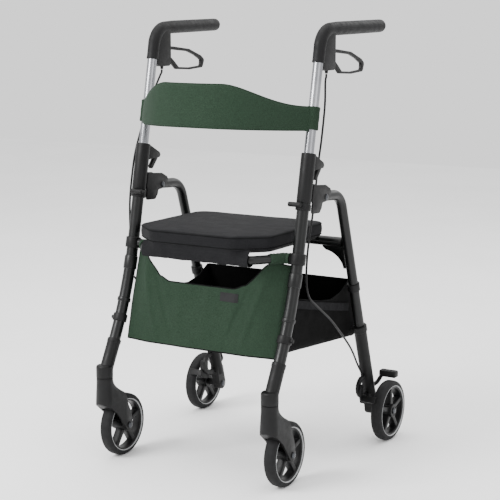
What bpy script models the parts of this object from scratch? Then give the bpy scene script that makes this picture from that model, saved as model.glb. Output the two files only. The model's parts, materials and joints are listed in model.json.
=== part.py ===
"""Four-wheeled walking frame with a seat, a bag and a folding rear frame.

Metres, +Z up. The user walks behind it at +Y and it rolls forward towards -Y. Left and right are as
seen from the front, so +X is right. The origin is on the floor, halfway between the two sides and
4 mm ahead of the middle of the length. Every piece is one named object.
"""

import math

import bmesh
import bpy
from mathutils import Matrix, Vector

# Gaps between pieces that touch or slide
FIT = 0.0003
RUNNING = 0.0008

# Front legs and the posts above them
LEG_X = 0.2262
LEG_OD = 0.0277
LEG_WALL = 0.0018
POST_LEAN = math.radians(11.5)
SLEEVE_TOP_Z = 0.7455
SLEEVE_TOP_Y = -0.1048
LEG_BEND_Z = 0.535
LEG_BEND_RADIUS = 0.95
FOOT_LEAN = math.radians(28.0)
LEG_TOP_SINK = 0.006
LEG_END_Z = 0.2535

# Post sleeve with its trigger housing and the cheeks of the rear frame's hinge
SLEEVE_OD = 0.0335
SLEEVE_BOTTOM_Z = 0.636
CHEEK_THICK = 0.0040
LATCH_Y = -0.0530
LATCH_Z = 0.7140
LATCH_THICK = 0.0090
LATCH_BOSS_RADIUS = 0.0078
LATCH_PIN_RADIUS = 0.0025
LATCH_TIP_Y = -0.0760
LATCH_TIP_Z = 0.6880
LATCH_FINGER = 0.0110
LATCH_BODY_HEIGHT = 0.0280

# Handles
HANDLE_TUBE_OD = 0.0230
HANDLE_TUBE_WALL = 0.0016
HANDLE_INSIDE = 0.1120
GRIP_Z = 1.0190
GRIP_RISE = 0.018
GRIP_SPLAY = 0.033
GRIP_TIP_Y = 0.2330
GRIP_BEND_RADIUS = 0.0500
GRIP_START_Z = 0.9450
GRIP_NECK_RADIUS = 0.0144
GRIP_RADIUS = 0.0157
GRIP_TUBE_END = 0.0400

# Brake lever and its housing
LEVER_PIVOT_Y = -0.0080
LEVER_PIVOT_Z = 0.9600
LEVER_THICK = 0.0080
LEVER_PIN_RADIUS = 0.0030
HOUSING_WIDTH = 0.0220
HOUSING_REAR_Y = 0.0005
HOUSING_FRONT_Y = -0.0450
HOUSING_BOTTOM_Z = 0.9270
FERRULE_Y = -0.0250
FERRULE_RADIUS = 0.0042
FERRULE_LENGTH = 0.0120
FERRULE_SINK = 0.0050

# Backrest
BACK_END_BOTTOM_Z = 0.7955
BACK_BOTTOM_RISE = 0.0090
BACK_MIDDLE_TOP_Z = 0.9020
BACK_END_TOP_Z = 0.8500
BACK_FLAT_SHARE = 0.32
BACK_BULGE = 0.1580
BACK_BULGE_POWER = 2.4
BACK_THICK = 0.0120
BACK_SLANT_LIMIT = 1.8
BACK_WRAP_WALL = 0.0040
BACK_STEPS = 20

# Front crossbar, bowed towards the front
BAR_Z = 0.5120
BAR_OD = 0.0200
BAR_WALL = 0.0018
BAR_BOW = 0.0680
BAR_MIDDLE_HALF = 0.1440
BAR_END_RUN = 0.0140
BAR_END_BEND = 0.0140
BAR_MIDDLE_BEND = 0.0200
COLLAR_OD = 0.0360
COLLAR_HEIGHT = 0.0260
SPIGOT_LENGTH = 0.0065

# Pegs, rings and strap clamps on the front legs
PEG_RADIUS = 0.0052
PEG_INNER_X = 0.2000
PEG_OUTER_X = 0.2330
PEG_Z = 0.6350
PEG_RING_Z = 0.6265
PEG_RING_HEIGHT = 0.0140
RING_OD = 0.0318
UPPER_RING_Z = 0.4650
UPPER_RING_HEIGHT = 0.0320
LOWER_RING_Z = 0.3790
LOWER_RING_HEIGHT = 0.0100
CLAMP_OD = 0.0340
CLAMP_Z = 0.3380
CLAMP_HEIGHT = 0.0180
KNOB_RADIUS = 0.0045
KNOB_LENGTH = 0.0060

# Front casters
STEM_Y = -0.2750
SOCKET_OD = 0.0315
SOCKET_TOP_Z = 0.2900
HOUSING_OD = 0.0400
SPLIT_Z = 0.2060
HOUSING_TOP_Z = 0.2360
STEM_RADIUS = 0.0060
STEM_TOP_Z = 0.2260
STEM_SINK = 0.0190
TRAIL = 0.0670
FORK_HALF = 0.0225
FORK_SLOT_HALF = 0.0172
FORK_SLOT_RADIUS = 0.0790

# Wheels
WHEEL_RADIUS = 0.0750
TYRE_WIDTH = 0.0280
TYRE_INNER_RADIUS = 0.0615
TREAD_ROUND = 0.0080
RIM_DEPTH = 0.0045
RIM_HALF = 0.0115
HUB_RADIUS = 0.0165
HUB_HALF = 0.0160
SPOKES = 5
SPOKE_WIDTH = 0.0130
SPOKE_THICK = 0.0200
AXLE_RADIUS = 0.0040
AXLE_HEAD_RADIUS = 0.0075
AXLE_HEAD = 0.0035

# Rear frame
REAR_LEG_OD = 0.0240
REAR_LEG_WALL = 0.0018
REAR_LEAN = 0.330
REAR_REF_Y = 0.0942
REAR_REF_Z = 0.4965
FOLD_Y = -0.0500
FOLD_Z = 0.6420
ARCH_DROP = 0.060
ARCH_FRONT_Y = -0.0640
ARCH_RADIUS = 0.0500
FOLD_PIN_RADIUS = 0.0040
FOLD_HEAD_RADIUS = 0.0070
FOLD_HEAD = 0.0025
REAR_BAR_OD = 0.0230
GUSSET_REACH = 0.0560
GUSSET_DROP = 0.0560
GUSSET_THICK = 0.0040
REAR_CLAMP_Z = 0.4020
REAR_CLAMP_HEIGHT = 0.0200
REAR_CLAMP_OD = 0.0300
LEG_END_OD = 0.0330
LEG_END_TOP_Z = 0.3000
LEG_END_SEAT_Z = 0.1500
LEG_END_BOTTOM_Z = 0.1050
REAR_AXLE_Y = 0.2290
REAR_WHEEL_X = 0.2740
BOSS_RADIUS = 0.0150
BOSS_HALF = 0.0110

# Rear brake and the step pedal
STOP_Y = 0.1760
STOP_Z = 0.1620
STOP_THICK = 0.0080
ARM_PIVOT_Y = 0.1600
ARM_PIVOT_Z = 0.1450
ARM_THICK = 0.0050
ARM_TAIL_Y = 0.1870
ARM_HEAD = 0.0012
ARM_HEAD_RADIUS = 0.0055
SHOE_GAP = 0.0030
SHOE_ANGLE = math.radians(150.0)
SHOE_THICK = 0.0060
SHOE_LENGTH = 0.0160
SHOE_END_X = 0.2730
PEDAL_Y = 0.2560
PEDAL_Z = 0.1530
PEDAL_WIDTH = 0.0460
PEDAL_DEPTH = 0.0220
PEDAL_THICK = 0.0170
PEDAL_STALK_RADIUS = 0.0050

# Seat
SEAT_HALF = 0.1800
SEAT_FRONT_Y = -0.2490
SEAT_CORNER_Y = -0.1900
SEAT_REAR_Y = 0.0710
SEAT_CORNER_RADIUS = 0.0340
BOARD_THICK = 0.0060
BOARD_INSET = 0.0100
KNUCKLE_X = 0.0900
KNUCKLE_WIDTH = 0.0240
KNUCKLE_WALL = 0.0025
SEAT_RISE = 0.0155
CUSHION_EDGE_Z = 0.5660
CUSHION_CROWN = 0.0040
CUSHION_DRAW = 0.0030
FLAP_WALL = 0.0022
FLAP_HALF = 0.1410
REST_TAB_X = 0.1350
REST_TAB_WIDTH = 0.0300

# Bag
BAG_HALF = 0.2075
BAG_BODY_HALF = 0.2060
BAG_FOOT_TAPER = 0.0045
BAG_FOOT_Z = 0.3600
BAG_WALL = 0.0024
BAG_FRONT_TOP_Y = -0.1900
BAG_FRONT_BOTTOM_Y = -0.2250
BAG_TURN_TOP_X = 0.1500
BAG_TURN_TOP = 0.0350
BAG_TURN_BOTTOM_X = 0.1200
BAG_TURN_BOTTOM = 0.0100
BAG_FRONT_GAP = 0.0006
BAG_REAR_TOP_Y = 0.1440
BAG_REAR_BOTTOM_Y = 0.1860
BAG_TOP_Z = 0.4950
BAG_REAR_TOP_Z = 0.4170
BAG_REAR_BOTTOM_Z = 0.2620
BAG_FRONT_BOTTOM_Z = 0.2910
BAG_SIDE_FRONT_Z = 0.4260
BAG_SIDE_MIDDLE_Y = 0.0000
BAG_SIDE_MIDDLE_Z = 0.3880
BAG_SIDE_LOW_Y = 0.0500
BAG_SIDE_LOW_Z = 0.3830
CUTOUT_Z = 0.4400
LOOP_PLACE = 0.0240
LOOP_HALF = 0.0150
LOOP_TOP_Z = 0.5040
STRAP_Z = 0.4120
STRAP_REAR_Z = 0.3480
STRAP_WIDTH = 0.0190
STRAP_THICK = 0.0018

# Brake cables
CABLE_RADIUS = 0.0025
CABLE_GAP = 0.0016
CABLE_POINTS = 42

SIDES = 12
ACROSS = Vector((1.0, 0.0, 0.0))
UP = Vector((0.0, 0.0, 1.0))
BACK = Vector((0.0, 1.0, 0.0))


def clear_scene():
    for obj in list(bpy.data.objects):
        bpy.data.objects.remove(obj, do_unlink=True)


def material(name, red, green, blue, roughness, metallic=0.0):
    """A plain surface. The colour is given as sRGB, 0 to 255."""
    made = bpy.data.materials.new(name)
    made.use_nodes = True
    shader = made.node_tree.nodes["Principled BSDF"]
    linear = [((value / 255 + 0.055) / 1.055) ** 2.4 for value in (red, green, blue)]
    shader.inputs["Base Color"].default_value = (*linear, 1.0)
    shader.inputs["Roughness"].default_value = roughness
    shader.inputs["Metallic"].default_value = metallic
    made.diffuse_color = (*linear, 1.0)
    return made


def finish_mesh(name, bm, surface, origin=(0.0, 0.0, 0.0)):
    """Makes the object, with its origin at that point and its shape where it was drawn."""
    bmesh.ops.remove_doubles(bm, verts=bm.verts, dist=1e-6)
    bmesh.ops.recalc_face_normals(bm, faces=bm.faces)
    bm.transform(Matrix.Translation(-Vector(origin)))
    mesh = bpy.data.meshes.new(name)
    bm.to_mesh(mesh)
    bm.free()
    if surface is not None:
        mesh.materials.append(surface)
    mesh.shade_smooth()
    mesh.set_sharp_from_angle(angle=math.radians(35.0))
    obj = bpy.data.objects.new(name, mesh)
    obj.location = origin
    bpy.context.scene.collection.objects.link(obj)
    return obj


def helper(name, bm):
    """A shape that only cuts or joins another object."""
    obj = finish_mesh(name, bm, None)
    obj.hide_render = True
    obj.display_type = "WIRE"
    return obj


def combine(obj, other, operation):
    modifier = obj.modifiers.new(operation.title() + " " + other.name, "BOOLEAN")
    modifier.operation = operation
    modifier.object = other
    return modifier


def cut(obj, name, bm):
    combine(obj, helper(name, bm), "DIFFERENCE")


def join(obj, name, bm):
    combine(obj, helper(name, bm), "UNION")


def ring(bm, centre, across, up, radius, sides):
    turn = 2.0 * math.pi / sides
    return [
        bm.verts.new(centre + radius * (math.cos(k * turn) * across + math.sin(k * turn) * up))
        for k in range(sides)
    ]


def bridge(bm, first, second):
    """Faces between two rings, either of which may be a single point."""
    if len(first) == 1 and len(second) == 1:
        return
    count = max(len(first), len(second))
    for k in range(count):
        after = (k + 1) % count
        if len(first) == 1:
            bm.faces.new((first[0], second[after], second[k]))
        elif len(second) == 1:
            bm.faces.new((first[k], first[after], second[0]))
        else:
            bm.faces.new((first[k], first[after], second[after], second[k]))


def tangent_at(path, index):
    before = path[max(index - 1, 0)]
    after = path[min(index + 1, len(path) - 1)]
    return (after - before).normalized()


def sweep(path, reference, radii, bores=None, sides=SIDES):
    """A round bar along the path, or a pipe where bores are given.

    radii and bores have a value for each point, or one for all.
    """
    bm = bmesh.new()
    radii = radii if isinstance(radii, list) else [radii] * len(path)
    outer = []
    inner = []
    for index, point in enumerate(path):
        tangent = tangent_at(path, index)
        across = (reference - reference.dot(tangent) * tangent).normalized()
        up = tangent.cross(across)
        outer.append(ring(bm, point, across, up, radii[index], sides))
        if bores:
            inner.append(ring(bm, point, across, up, bores, sides))
    for first, second in zip(outer, outer[1:]):
        bridge(bm, first, second)
    if not bores:
        bm.faces.new(outer[0])
        bm.faces.new(outer[-1])
        return bm
    for first, second in zip(inner, inner[1:]):
        bridge(bm, first, second)
    bridge(bm, outer[0], inner[0])
    bridge(bm, outer[-1], inner[-1])
    return bm


def turned(centre, axis, profile, sides=SIDES):
    """A turned solid. profile is a closed loop of (distance along the axis, radius) pairs."""
    bm = bmesh.new()
    axis = axis.normalized()
    reference = ACROSS if abs(axis.dot(ACROSS)) < 0.9 else UP
    across = (reference - reference.dot(axis) * axis).normalized()
    up = axis.cross(across)
    rings = []
    for along, radius in profile:
        point = centre + along * axis
        if radius <= 0.0:
            rings.append([bm.verts.new(point)])
        else:
            rings.append(ring(bm, point, across, up, radius, sides))
    for first, second in zip(rings, rings[1:] + rings[:1]):
        bridge(bm, first, second)
    return bm


def bush(centre, axis, half, outer, inner, sides=SIDES):
    """A plain ring with square edges."""
    return turned(centre, axis, [(-half, inner), (half, inner), (half, outer), (-half, outer)], sides)


def rod(start, end, radius, sides=SIDES):
    length = (end - start).length
    return turned(start, end - start, [(0.0, 0.0), (0.0, radius), (length, radius), (length, 0.0)], sides)


def prism(outline, place, low, high):
    """A flat outline drawn out between low and high. place(u, v, w) gives the point."""
    bm = bmesh.new()
    first = [bm.verts.new(place(u, v, low)) for u, v in outline]
    second = [bm.verts.new(place(u, v, high)) for u, v in outline]
    bridge(bm, first, second)
    bm.faces.new(first)
    bm.faces.new(second)
    return bm


def side_plate(outline, low, high):
    """A prism whose outline is (y, z), between two places on x."""
    return prism(outline, lambda u, v, w: Vector((w, u, v)), low, high)


def level_plate(outline, low, high):
    """A prism whose outline is (x, y), between two heights."""
    return prism(outline, lambda u, v, w: Vector((u, v, w)), low, high)


def box(low, high):
    outline = [(low[0], low[1]), (high[0], low[1]), (high[0], high[1]), (low[0], high[1])]
    return level_plate(outline, low[2], high[2])


def arc(centre, radius, start, end, steps):
    """Points on a circle between two angles in degrees."""
    points = []
    for k in range(steps + 1):
        angle = math.radians(start + (end - start) * k / steps)
        points.append((centre[0] + radius * math.cos(angle), centre[1] + radius * math.sin(angle)))
    return points


def rounded_path(corners, radii, steps=6):
    """The corners joined by straight runs, with each inner corner as an arc of its radius."""
    points = [corners[0]]
    for before, corner, after, radius in zip(corners, corners[1:], corners[2:], radii):
        into = (before - corner).normalized()
        out = (after - corner).normalized()
        half = into.angle(out) / 2.0
        tangent = radius / math.tan(half)
        middle = (into + out).normalized()
        centre = corner + middle * (radius / math.sin(half))
        start = corner + into * tangent - centre
        end = corner + out * tangent - centre
        sweep_angle = start.angle(end)
        for k in range(steps + 1):
            share = k / steps
            first = math.sin((1.0 - share) * sweep_angle) / math.sin(sweep_angle)
            second = math.sin(share * sweep_angle) / math.sin(sweep_angle)
            points.append(centre + first * start + second * end)
    points.append(corners[-1])
    return points


def rounded_outline(corners, radius, steps=3):
    """A closed flat outline with its corners rounded."""
    loop = [Vector((u, v, 0.0)) for u, v in corners]
    points = []
    for index, corner in enumerate(loop):
        before = loop[index - 1]
        after = loop[(index + 1) % len(loop)]
        into = (before - corner).normalized()
        out = (after - corner).normalized()
        room = min((before - corner).length, (after - corner).length)
        reach = min(radius / math.tan(into.angle(out) / 2.0), 0.45 * room)
        start = corner + into * reach
        end = corner + out * reach
        for k in range(steps + 1):
            share = k / steps
            point = (1 - share) ** 2 * start + 2 * share * (1 - share) * corner + share**2 * end
            points.append((point.x, point.y))
    return points


def post_y(height):
    return SLEEVE_TOP_Y + (height - SLEEVE_TOP_Z) * math.tan(POST_LEAN)


def post_point(side, height):
    return Vector((side * LEG_X, post_y(height), height))


POST_AXIS = Vector((0.0, math.sin(POST_LEAN), math.cos(POST_LEAN)))
BEND_DROP = LEG_BEND_RADIUS * (math.sin(FOOT_LEAN) - math.sin(POST_LEAN))
BEND_END_Z = LEG_BEND_Z - BEND_DROP


def leg_lean(height):
    """How far the front leg leans back at this height, as an angle."""
    if height >= LEG_BEND_Z:
        return POST_LEAN
    if height <= BEND_END_Z:
        return FOOT_LEAN
    return math.asin(math.sin(POST_LEAN) + (LEG_BEND_Z - height) / LEG_BEND_RADIUS)


def leg_y(height):
    if height >= LEG_BEND_Z:
        return post_y(height)
    lean = leg_lean(height)
    bent = post_y(LEG_BEND_Z) - LEG_BEND_RADIUS * (math.cos(POST_LEAN) - math.cos(lean))
    if height >= BEND_END_Z:
        return bent
    return bent - (BEND_END_Z - height) * math.tan(FOOT_LEAN)


def leg_point(side, height):
    return Vector((side * LEG_X, leg_y(height), height))


def leg_axis(height):
    lean = leg_lean(height)
    return Vector((0.0, math.sin(lean), math.cos(lean)))


def rear_y(height):
    return REAR_REF_Y + (REAR_REF_Z - height) * REAR_LEAN


def rear_point(side, height):
    return Vector((side * LEG_X, rear_y(height), height))


REAR_AXIS = Vector((0.0, -REAR_LEAN, 1.0)).normalized()


def arch_z(depth):
    """Height of the rear frame's upper run, which drops a little towards the rear."""
    return FOLD_Z - (depth - FOLD_Y) * ARCH_DROP


def front_leg(name, side, steel):
    """One tube from the sleeve down into the caster's socket, with the two raised rings pressed on to it."""
    heights = [SLEEVE_TOP_Z - LEG_TOP_SINK, LEG_BEND_Z]
    steps = 5
    heights += [LEG_BEND_Z - BEND_DROP * k / steps for k in range(1, steps + 1)]
    heights.append(LEG_END_Z)
    path = [leg_point(side, height) for height in heights]
    obj = finish_mesh(name, sweep(path, ACROSS, LEG_OD / 2, LEG_OD / 2 - LEG_WALL), steel)
    for height, length in ((UPPER_RING_Z, UPPER_RING_HEIGHT), (LOWER_RING_Z, LOWER_RING_HEIGHT)):
        inside = LEG_OD / 2 - LEG_WALL / 2
        raised = bush(leg_point(side, height), leg_axis(height), length / 2, RING_OD / 2, inside)
        join(obj, f"{name} ring {height}", raised)
    return obj


def sleeve_cheek(centre):
    """One cheek of the hinge that holds the rear frame's arch."""
    front = 0.009
    lower_front = 0.0135
    outline = [
        (post_y(0.676) + front, 0.6760),
        (-0.0520, 0.6704),
        (-0.0300, 0.6600),
        (-0.0260, 0.6520),
        (-0.0320, 0.6420),
        (-0.0520, 0.6320),
        (-0.0678, 0.6310),
        (-0.0716, 0.6197),
        (-0.0816, 0.6092),
        (post_y(0.611) + lower_front, 0.6110),
        (post_y(SLEEVE_BOTTOM_Z) + lower_front, SLEEVE_BOTTOM_Z),
        (post_y(SLEEVE_BOTTOM_Z) + front, SLEEVE_BOTTOM_Z + 0.004),
    ]
    return side_plate(outline, centre - CHEEK_THICK / 2, centre + CHEEK_THICK / 2)


def post_sleeve(name, side, plastic):
    """The casting that clamps the handle tube. It holds the latch and the rear frame's hinge."""
    x = side * LEG_X
    top = post_point(side, SLEEVE_TOP_Z)
    length = (SLEEVE_TOP_Z - SLEEVE_BOTTOM_Z) / math.cos(POST_LEAN)
    sink = LEG_TOP_SINK / math.cos(POST_LEAN) - FIT
    bore = LEG_OD / 2 + FIT
    neck = HANDLE_TUBE_OD / 2 + FIT
    outside = SLEEVE_OD / 2
    profile = [(0.0, neck), (0.0, outside), (-length, outside), (-length, bore), (-sink, bore), (-sink, neck)]
    obj = finish_mesh(name, turned(top, POST_AXIS, profile), plastic)
    gap = REAR_LEG_OD / 2 + RUNNING
    for index, sign in enumerate((-1.0, 1.0)):
        join(obj, f"{name} cheek {index}", sleeve_cheek(x + sign * (gap + CHEEK_THICK / 2)))
    half = LATCH_THICK / 2 + 0.0040
    rear = SLEEVE_OD / 2 - 0.0020
    wedge = [
        (post_y(SLEEVE_TOP_Z - 0.003) + rear, SLEEVE_TOP_Z - 0.003),
        (LATCH_Y + LATCH_BOSS_RADIUS * 0.5, LATCH_Z + LATCH_BOSS_RADIUS * 0.87),
        (LATCH_Y + LATCH_BOSS_RADIUS, LATCH_Z),
        (LATCH_Y + LATCH_BOSS_RADIUS * 0.4, LATCH_Z - LATCH_BOSS_RADIUS * 0.8),
        (LATCH_Y - 0.016, LATCH_Z - 0.006),
        (post_y(SLEEVE_TOP_Z - LATCH_BODY_HEIGHT - 0.006) + rear, SLEEVE_TOP_Z - LATCH_BODY_HEIGHT - 0.006),
    ]
    join(obj, f"{name} latch housing", side_plate(wedge, x - half, x + half))
    slot = LATCH_THICK / 2 + FIT
    low = (x - slot, LATCH_Y - LATCH_BOSS_RADIUS - 0.020, LATCH_Z - 0.060)
    high = (x + slot, LATCH_Y + 0.030, LATCH_Z + LATCH_BOSS_RADIUS + 0.012)
    cut(obj, f"{name} latch slot", box(low, high))
    pin_reach = Vector((half + 0.004, 0.0, 0.0))
    pivot = Vector((x, LATCH_Y, LATCH_Z))
    cut(obj, f"{name} latch bore", rod(pivot - pin_reach, pivot + pin_reach, LATCH_PIN_RADIUS + FIT, 12))
    hinge = Vector((x, FOLD_Y, FOLD_Z))
    hinge_reach = Vector((gap + CHEEK_THICK + 0.004, 0.0, 0.0))
    cut(obj, f"{name} hinge bore", rod(hinge - hinge_reach, hinge + hinge_reach, FOLD_PIN_RADIUS + FIT, 12))
    return obj


def height_latch(name, side, plastic):
    """The trigger that frees the handle tube. It hangs behind the post and swings on its own cross pin."""
    x = side * LEG_X
    boss = LATCH_BOSS_RADIUS - 0.0015
    along = Vector((0.0, LATCH_TIP_Y - LATCH_Y, LATCH_TIP_Z - LATCH_Z))
    down = along.normalized()
    aside = Vector((0.0, down.z, -down.y))
    half = LATCH_FINGER / 2
    pivot = Vector((0.0, LATCH_Y, LATCH_Z))
    start = math.degrees(math.atan2(aside.z, aside.y))
    outline = arc((LATCH_Y, LATCH_Z), boss, start + 180.0, start + 360.0, 8)
    tip = pivot + along
    end = arc((tip.y, tip.z), half, start, start + 180.0, 6)
    outline += end
    plate = side_plate(outline, x - LATCH_THICK / 2, x + LATCH_THICK / 2)
    obj = finish_mesh(name, plate, plastic, (x, LATCH_Y, LATCH_Z))
    reach = Vector((LATCH_THICK / 2 + 0.0038, 0.0, 0.0))
    pin = Vector((x, LATCH_Y, LATCH_Z))
    join(obj, f"{name} pin", rod(pin - reach, pin + reach, LATCH_PIN_RADIUS, 12))
    return obj


def handle_corner(side):
    height = GRIP_Z
    return post_point(side, height)


def handle_direction(side):
    return Vector((side * GRIP_SPLAY, 1.0, GRIP_RISE)).normalized()


def handle_path(side, start_z, end_y):
    corner = handle_corner(side)
    direction = handle_direction(side)
    end = corner + direction * ((end_y - corner.y) / direction.y)
    return rounded_path([post_point(side, start_z), corner, end], [GRIP_BEND_RADIUS], 6)


def handle_tube(name, side, aluminium):
    start = SLEEVE_TOP_Z - HANDLE_INSIDE
    path = handle_path(side, start, GRIP_TIP_Y - GRIP_TUBE_END)
    radius = HANDLE_TUBE_OD / 2
    return finish_mesh(name, sweep(path, ACROSS, radius, radius - HANDLE_TUBE_WALL), aluminium)


def grip_shape(side, extra=0.0):
    """The moulded cover: a slim neck on the post, the bend, and a fuller run for the palm."""
    path = handle_path(side, GRIP_START_Z, GRIP_TIP_Y)
    bend_end = len(path) - 1
    corner = path[bend_end - 1]
    tip = path[bend_end]
    path = path[:bend_end] + [corner.lerp(tip, share) for share in (0.12, 0.5, 0.93)] + [tip]
    radii = [GRIP_NECK_RADIUS] * bend_end
    radii += [GRIP_RADIUS, GRIP_RADIUS, GRIP_RADIUS * 0.94, GRIP_RADIUS * 0.7]
    return sweep(path, ACROSS, [radius + extra for radius in radii])


def grip(name, side, rubber):
    obj = finish_mesh(name, grip_shape(side), rubber)
    bore = HANDLE_TUBE_OD / 2 + FIT
    path = handle_path(side, GRIP_START_Z - 0.010, GRIP_TIP_Y - GRIP_TUBE_END + FIT)
    cut(obj, f"{name} bore", sweep(path, ACROSS, bore))
    return obj


def brake_housing(name, side, plastic):
    """The body under the bend that carries the brake lever and the cable's end."""
    x = side * LEG_X
    half = HOUSING_WIDTH / 2
    outline = [(point.y, point.z) for point in handle_path(side, GRIP_START_Z + 0.002, HOUSING_REAR_Y)]
    outline += [
        (HOUSING_REAR_Y, HOUSING_BOTTOM_Z + 0.012),
        (HOUSING_REAR_Y - 0.002, HOUSING_BOTTOM_Z + 0.005),
        (HOUSING_REAR_Y - 0.007, HOUSING_BOTTOM_Z),
        (HOUSING_FRONT_Y, HOUSING_BOTTOM_Z),
        (HOUSING_FRONT_Y - 0.015, HOUSING_BOTTOM_Z + 0.0065),
    ]
    obj = finish_mesh(name, side_plate(outline, x - half, x + half), plastic)
    cut(obj, f"{name} seat", grip_shape(side, FIT))
    low = post_point(side, HOUSING_BOTTOM_Z - 0.020)
    cut(obj, f"{name} tube seat", rod(low, post_point(side, GRIP_START_Z + 0.010), HANDLE_TUBE_OD / 2 + FIT))
    slot = LEVER_THICK / 2 + FIT
    slot_top = LEVER_PIVOT_Z + 0.0195
    cut(obj, f"{name} slot", box((x - slot, LEVER_PIVOT_Y - 0.0105, 0.900), (x + slot, 0.060, slot_top)))
    reach = Vector((half + 0.003, 0.0, 0.0))
    pivot = Vector((x, LEVER_PIVOT_Y, LEVER_PIVOT_Z))
    cut(obj, f"{name} pivot bore", rod(pivot - reach, pivot + reach, LEVER_PIN_RADIUS + FIT, 12))
    top = Vector((x, FERRULE_Y, HOUSING_BOTTOM_Z + FERRULE_SINK))
    join(obj, f"{name} ferrule", rod(top, top - Vector((0.0, 0.0, FERRULE_LENGTH)), FERRULE_RADIUS, 12))
    return obj


def brake_lever(name, side, plastic):
    """A loop lever: the fingers go through it and draw it up towards the grip."""
    x = side * LEG_X
    outer = rounded_outline(
        [
            (-0.0150, 0.9700),
            (-0.0160, 0.9540),
            (0.0000, 0.9420),
            (0.0193, 0.9283),
            (0.0331, 0.9175),
            (0.0924, 0.9145),
            (0.1510, 0.9180),
            (0.1600, 0.9380),
            (0.1443, 0.9485),
            (0.0910, 0.9660),
            (0.0202, 0.9735),
        ],
        0.008,
        2,
    )
    inner = rounded_outline(
        [
            (0.0060, 0.9665),
            (0.0060, 0.9510),
            (0.0249, 0.9380),
            (0.0447, 0.9225),
            (0.0924, 0.9200),
            (0.1420, 0.9230),
            (0.1440, 0.9370),
            (0.1156, 0.9500),
            (0.0832, 0.9600),
        ],
        0.006,
        2,
    )
    origin = (x, LEVER_PIVOT_Y, LEVER_PIVOT_Z)
    obj = finish_mesh(name, side_plate(outer, x - LEVER_THICK / 2, x + LEVER_THICK / 2), plastic, origin)
    cut(obj, f"{name} finger gap", side_plate(inner, x - LEVER_THICK, x + LEVER_THICK))
    reach = Vector((HOUSING_WIDTH / 2 - 0.0005, 0.0, 0.0))
    pivot = Vector(origin)
    join(obj, f"{name} pin", rod(pivot - reach, pivot + reach, LEVER_PIN_RADIUS, 12))
    return obj


def smooth_step(share):
    """From 0 to 1 with a level start and end."""
    share = min(max(share, 0.0), 1.0)
    return share * share * (3.0 - 2.0 * share)


def backrest(name, fabric):
    """A padded band that bulges to the front between the two handle tubes and wraps round them."""
    wrap = HANDLE_TUBE_OD / 2 + FIT
    outer = wrap + BACK_WRAP_WALL
    drop = BACK_MIDDLE_TOP_Z - BACK_END_TOP_Z
    bm = bmesh.new()
    sections = []
    for k in range(BACK_STEPS + 1):
        share = math.sin(math.pi / 2 * (2.0 * k / BACK_STEPS - 1.0))
        aside = abs(share)
        bottom = BACK_END_BOTTOM_Z + BACK_BOTTOM_RISE * (1.0 - aside**2)
        top = BACK_MIDDLE_TOP_Z - drop * smooth_step((aside - BACK_FLAT_SHARE) / (1.0 - BACK_FLAT_SHARE))
        bulge = BACK_BULGE * (1.0 - aside**BACK_BULGE_POWER)
        slope = BACK_BULGE * BACK_BULGE_POWER / LEG_X * aside ** (BACK_BULGE_POWER - 1.0)
        thick = BACK_THICK * min(math.sqrt(1.0 + slope**2), BACK_SLANT_LIMIT)
        section = []
        for depth, height in (
            (0.0, bottom + 0.003),
            (0.5, bottom),
            (1.0, bottom + 0.003),
            (1.0, top - 0.003),
            (0.5, top),
            (0.0, top - 0.003),
        ):
            y = post_y(height) - bulge - outer + thick * depth
            section.append(bm.verts.new((share * LEG_X, y, height)))
        sections.append(section)
    for first, second in zip(sections, sections[1:]):
        bridge(bm, first, second)
    bm.faces.new(sections[0])
    bm.faces.new(sections[-1])
    obj = finish_mesh(name, bm, fabric)
    for side in (-1.0, 1.0):
        low = post_point(side, BACK_END_BOTTOM_Z + 0.002)
        high = post_point(side, BACK_END_TOP_Z - 0.002)
        join(obj, f"{name} wrap {side:.0f}", rod(low, high, outer))
    for side in (-1.0, 1.0):
        low = post_point(side, BACK_END_BOTTOM_Z - 0.030)
        high = post_point(side, BACK_END_TOP_Z + 0.030)
        cut(obj, f"{name} bore {side:.0f}", rod(low, high, wrap))
    return obj


def bar_corners(side, inset):
    """From one leg to the middle of the front crossbar: a straight end, a slant forward, and the middle."""
    y = leg_y(BAR_Z)
    end = LEG_X - inset
    bend = end - BAR_END_RUN
    return [
        Vector((side * end, y, BAR_Z)),
        Vector((side * bend, y, BAR_Z)),
        Vector((side * BAR_MIDDLE_HALF, y - BAR_BOW, BAR_Z)),
    ]


def front_crossbar(name, steel):
    inset = COLLAR_OD / 2 + FIT
    corners = bar_corners(-1.0, inset) + bar_corners(1.0, inset)[::-1]
    path = rounded_path(corners, [BAR_END_BEND, BAR_MIDDLE_BEND, BAR_MIDDLE_BEND, BAR_END_BEND], 3)
    return finish_mesh(name, sweep(path, UP, BAR_OD / 2, BAR_OD / 2 - BAR_WALL, 12), steel)


def crossbar_collar(name, side, plastic):
    """The collar on the front leg that the crossbar's end plugs on to."""
    centre = leg_point(side, BAR_Z)
    collar = bush(centre, leg_axis(BAR_Z), COLLAR_HEIGHT / 2, COLLAR_OD / 2, LEG_OD / 2 + 2 * FIT)
    obj = finish_mesh(name, collar, plastic)
    start = centre - ACROSS * side * (LEG_OD / 2 + 0.002)
    end = centre - ACROSS * side * (COLLAR_OD / 2 + SPIGOT_LENGTH)
    join(obj, f"{name} spigot", rod(start, end, BAR_OD / 2 - BAR_WALL - FIT, 16))
    return obj


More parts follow.
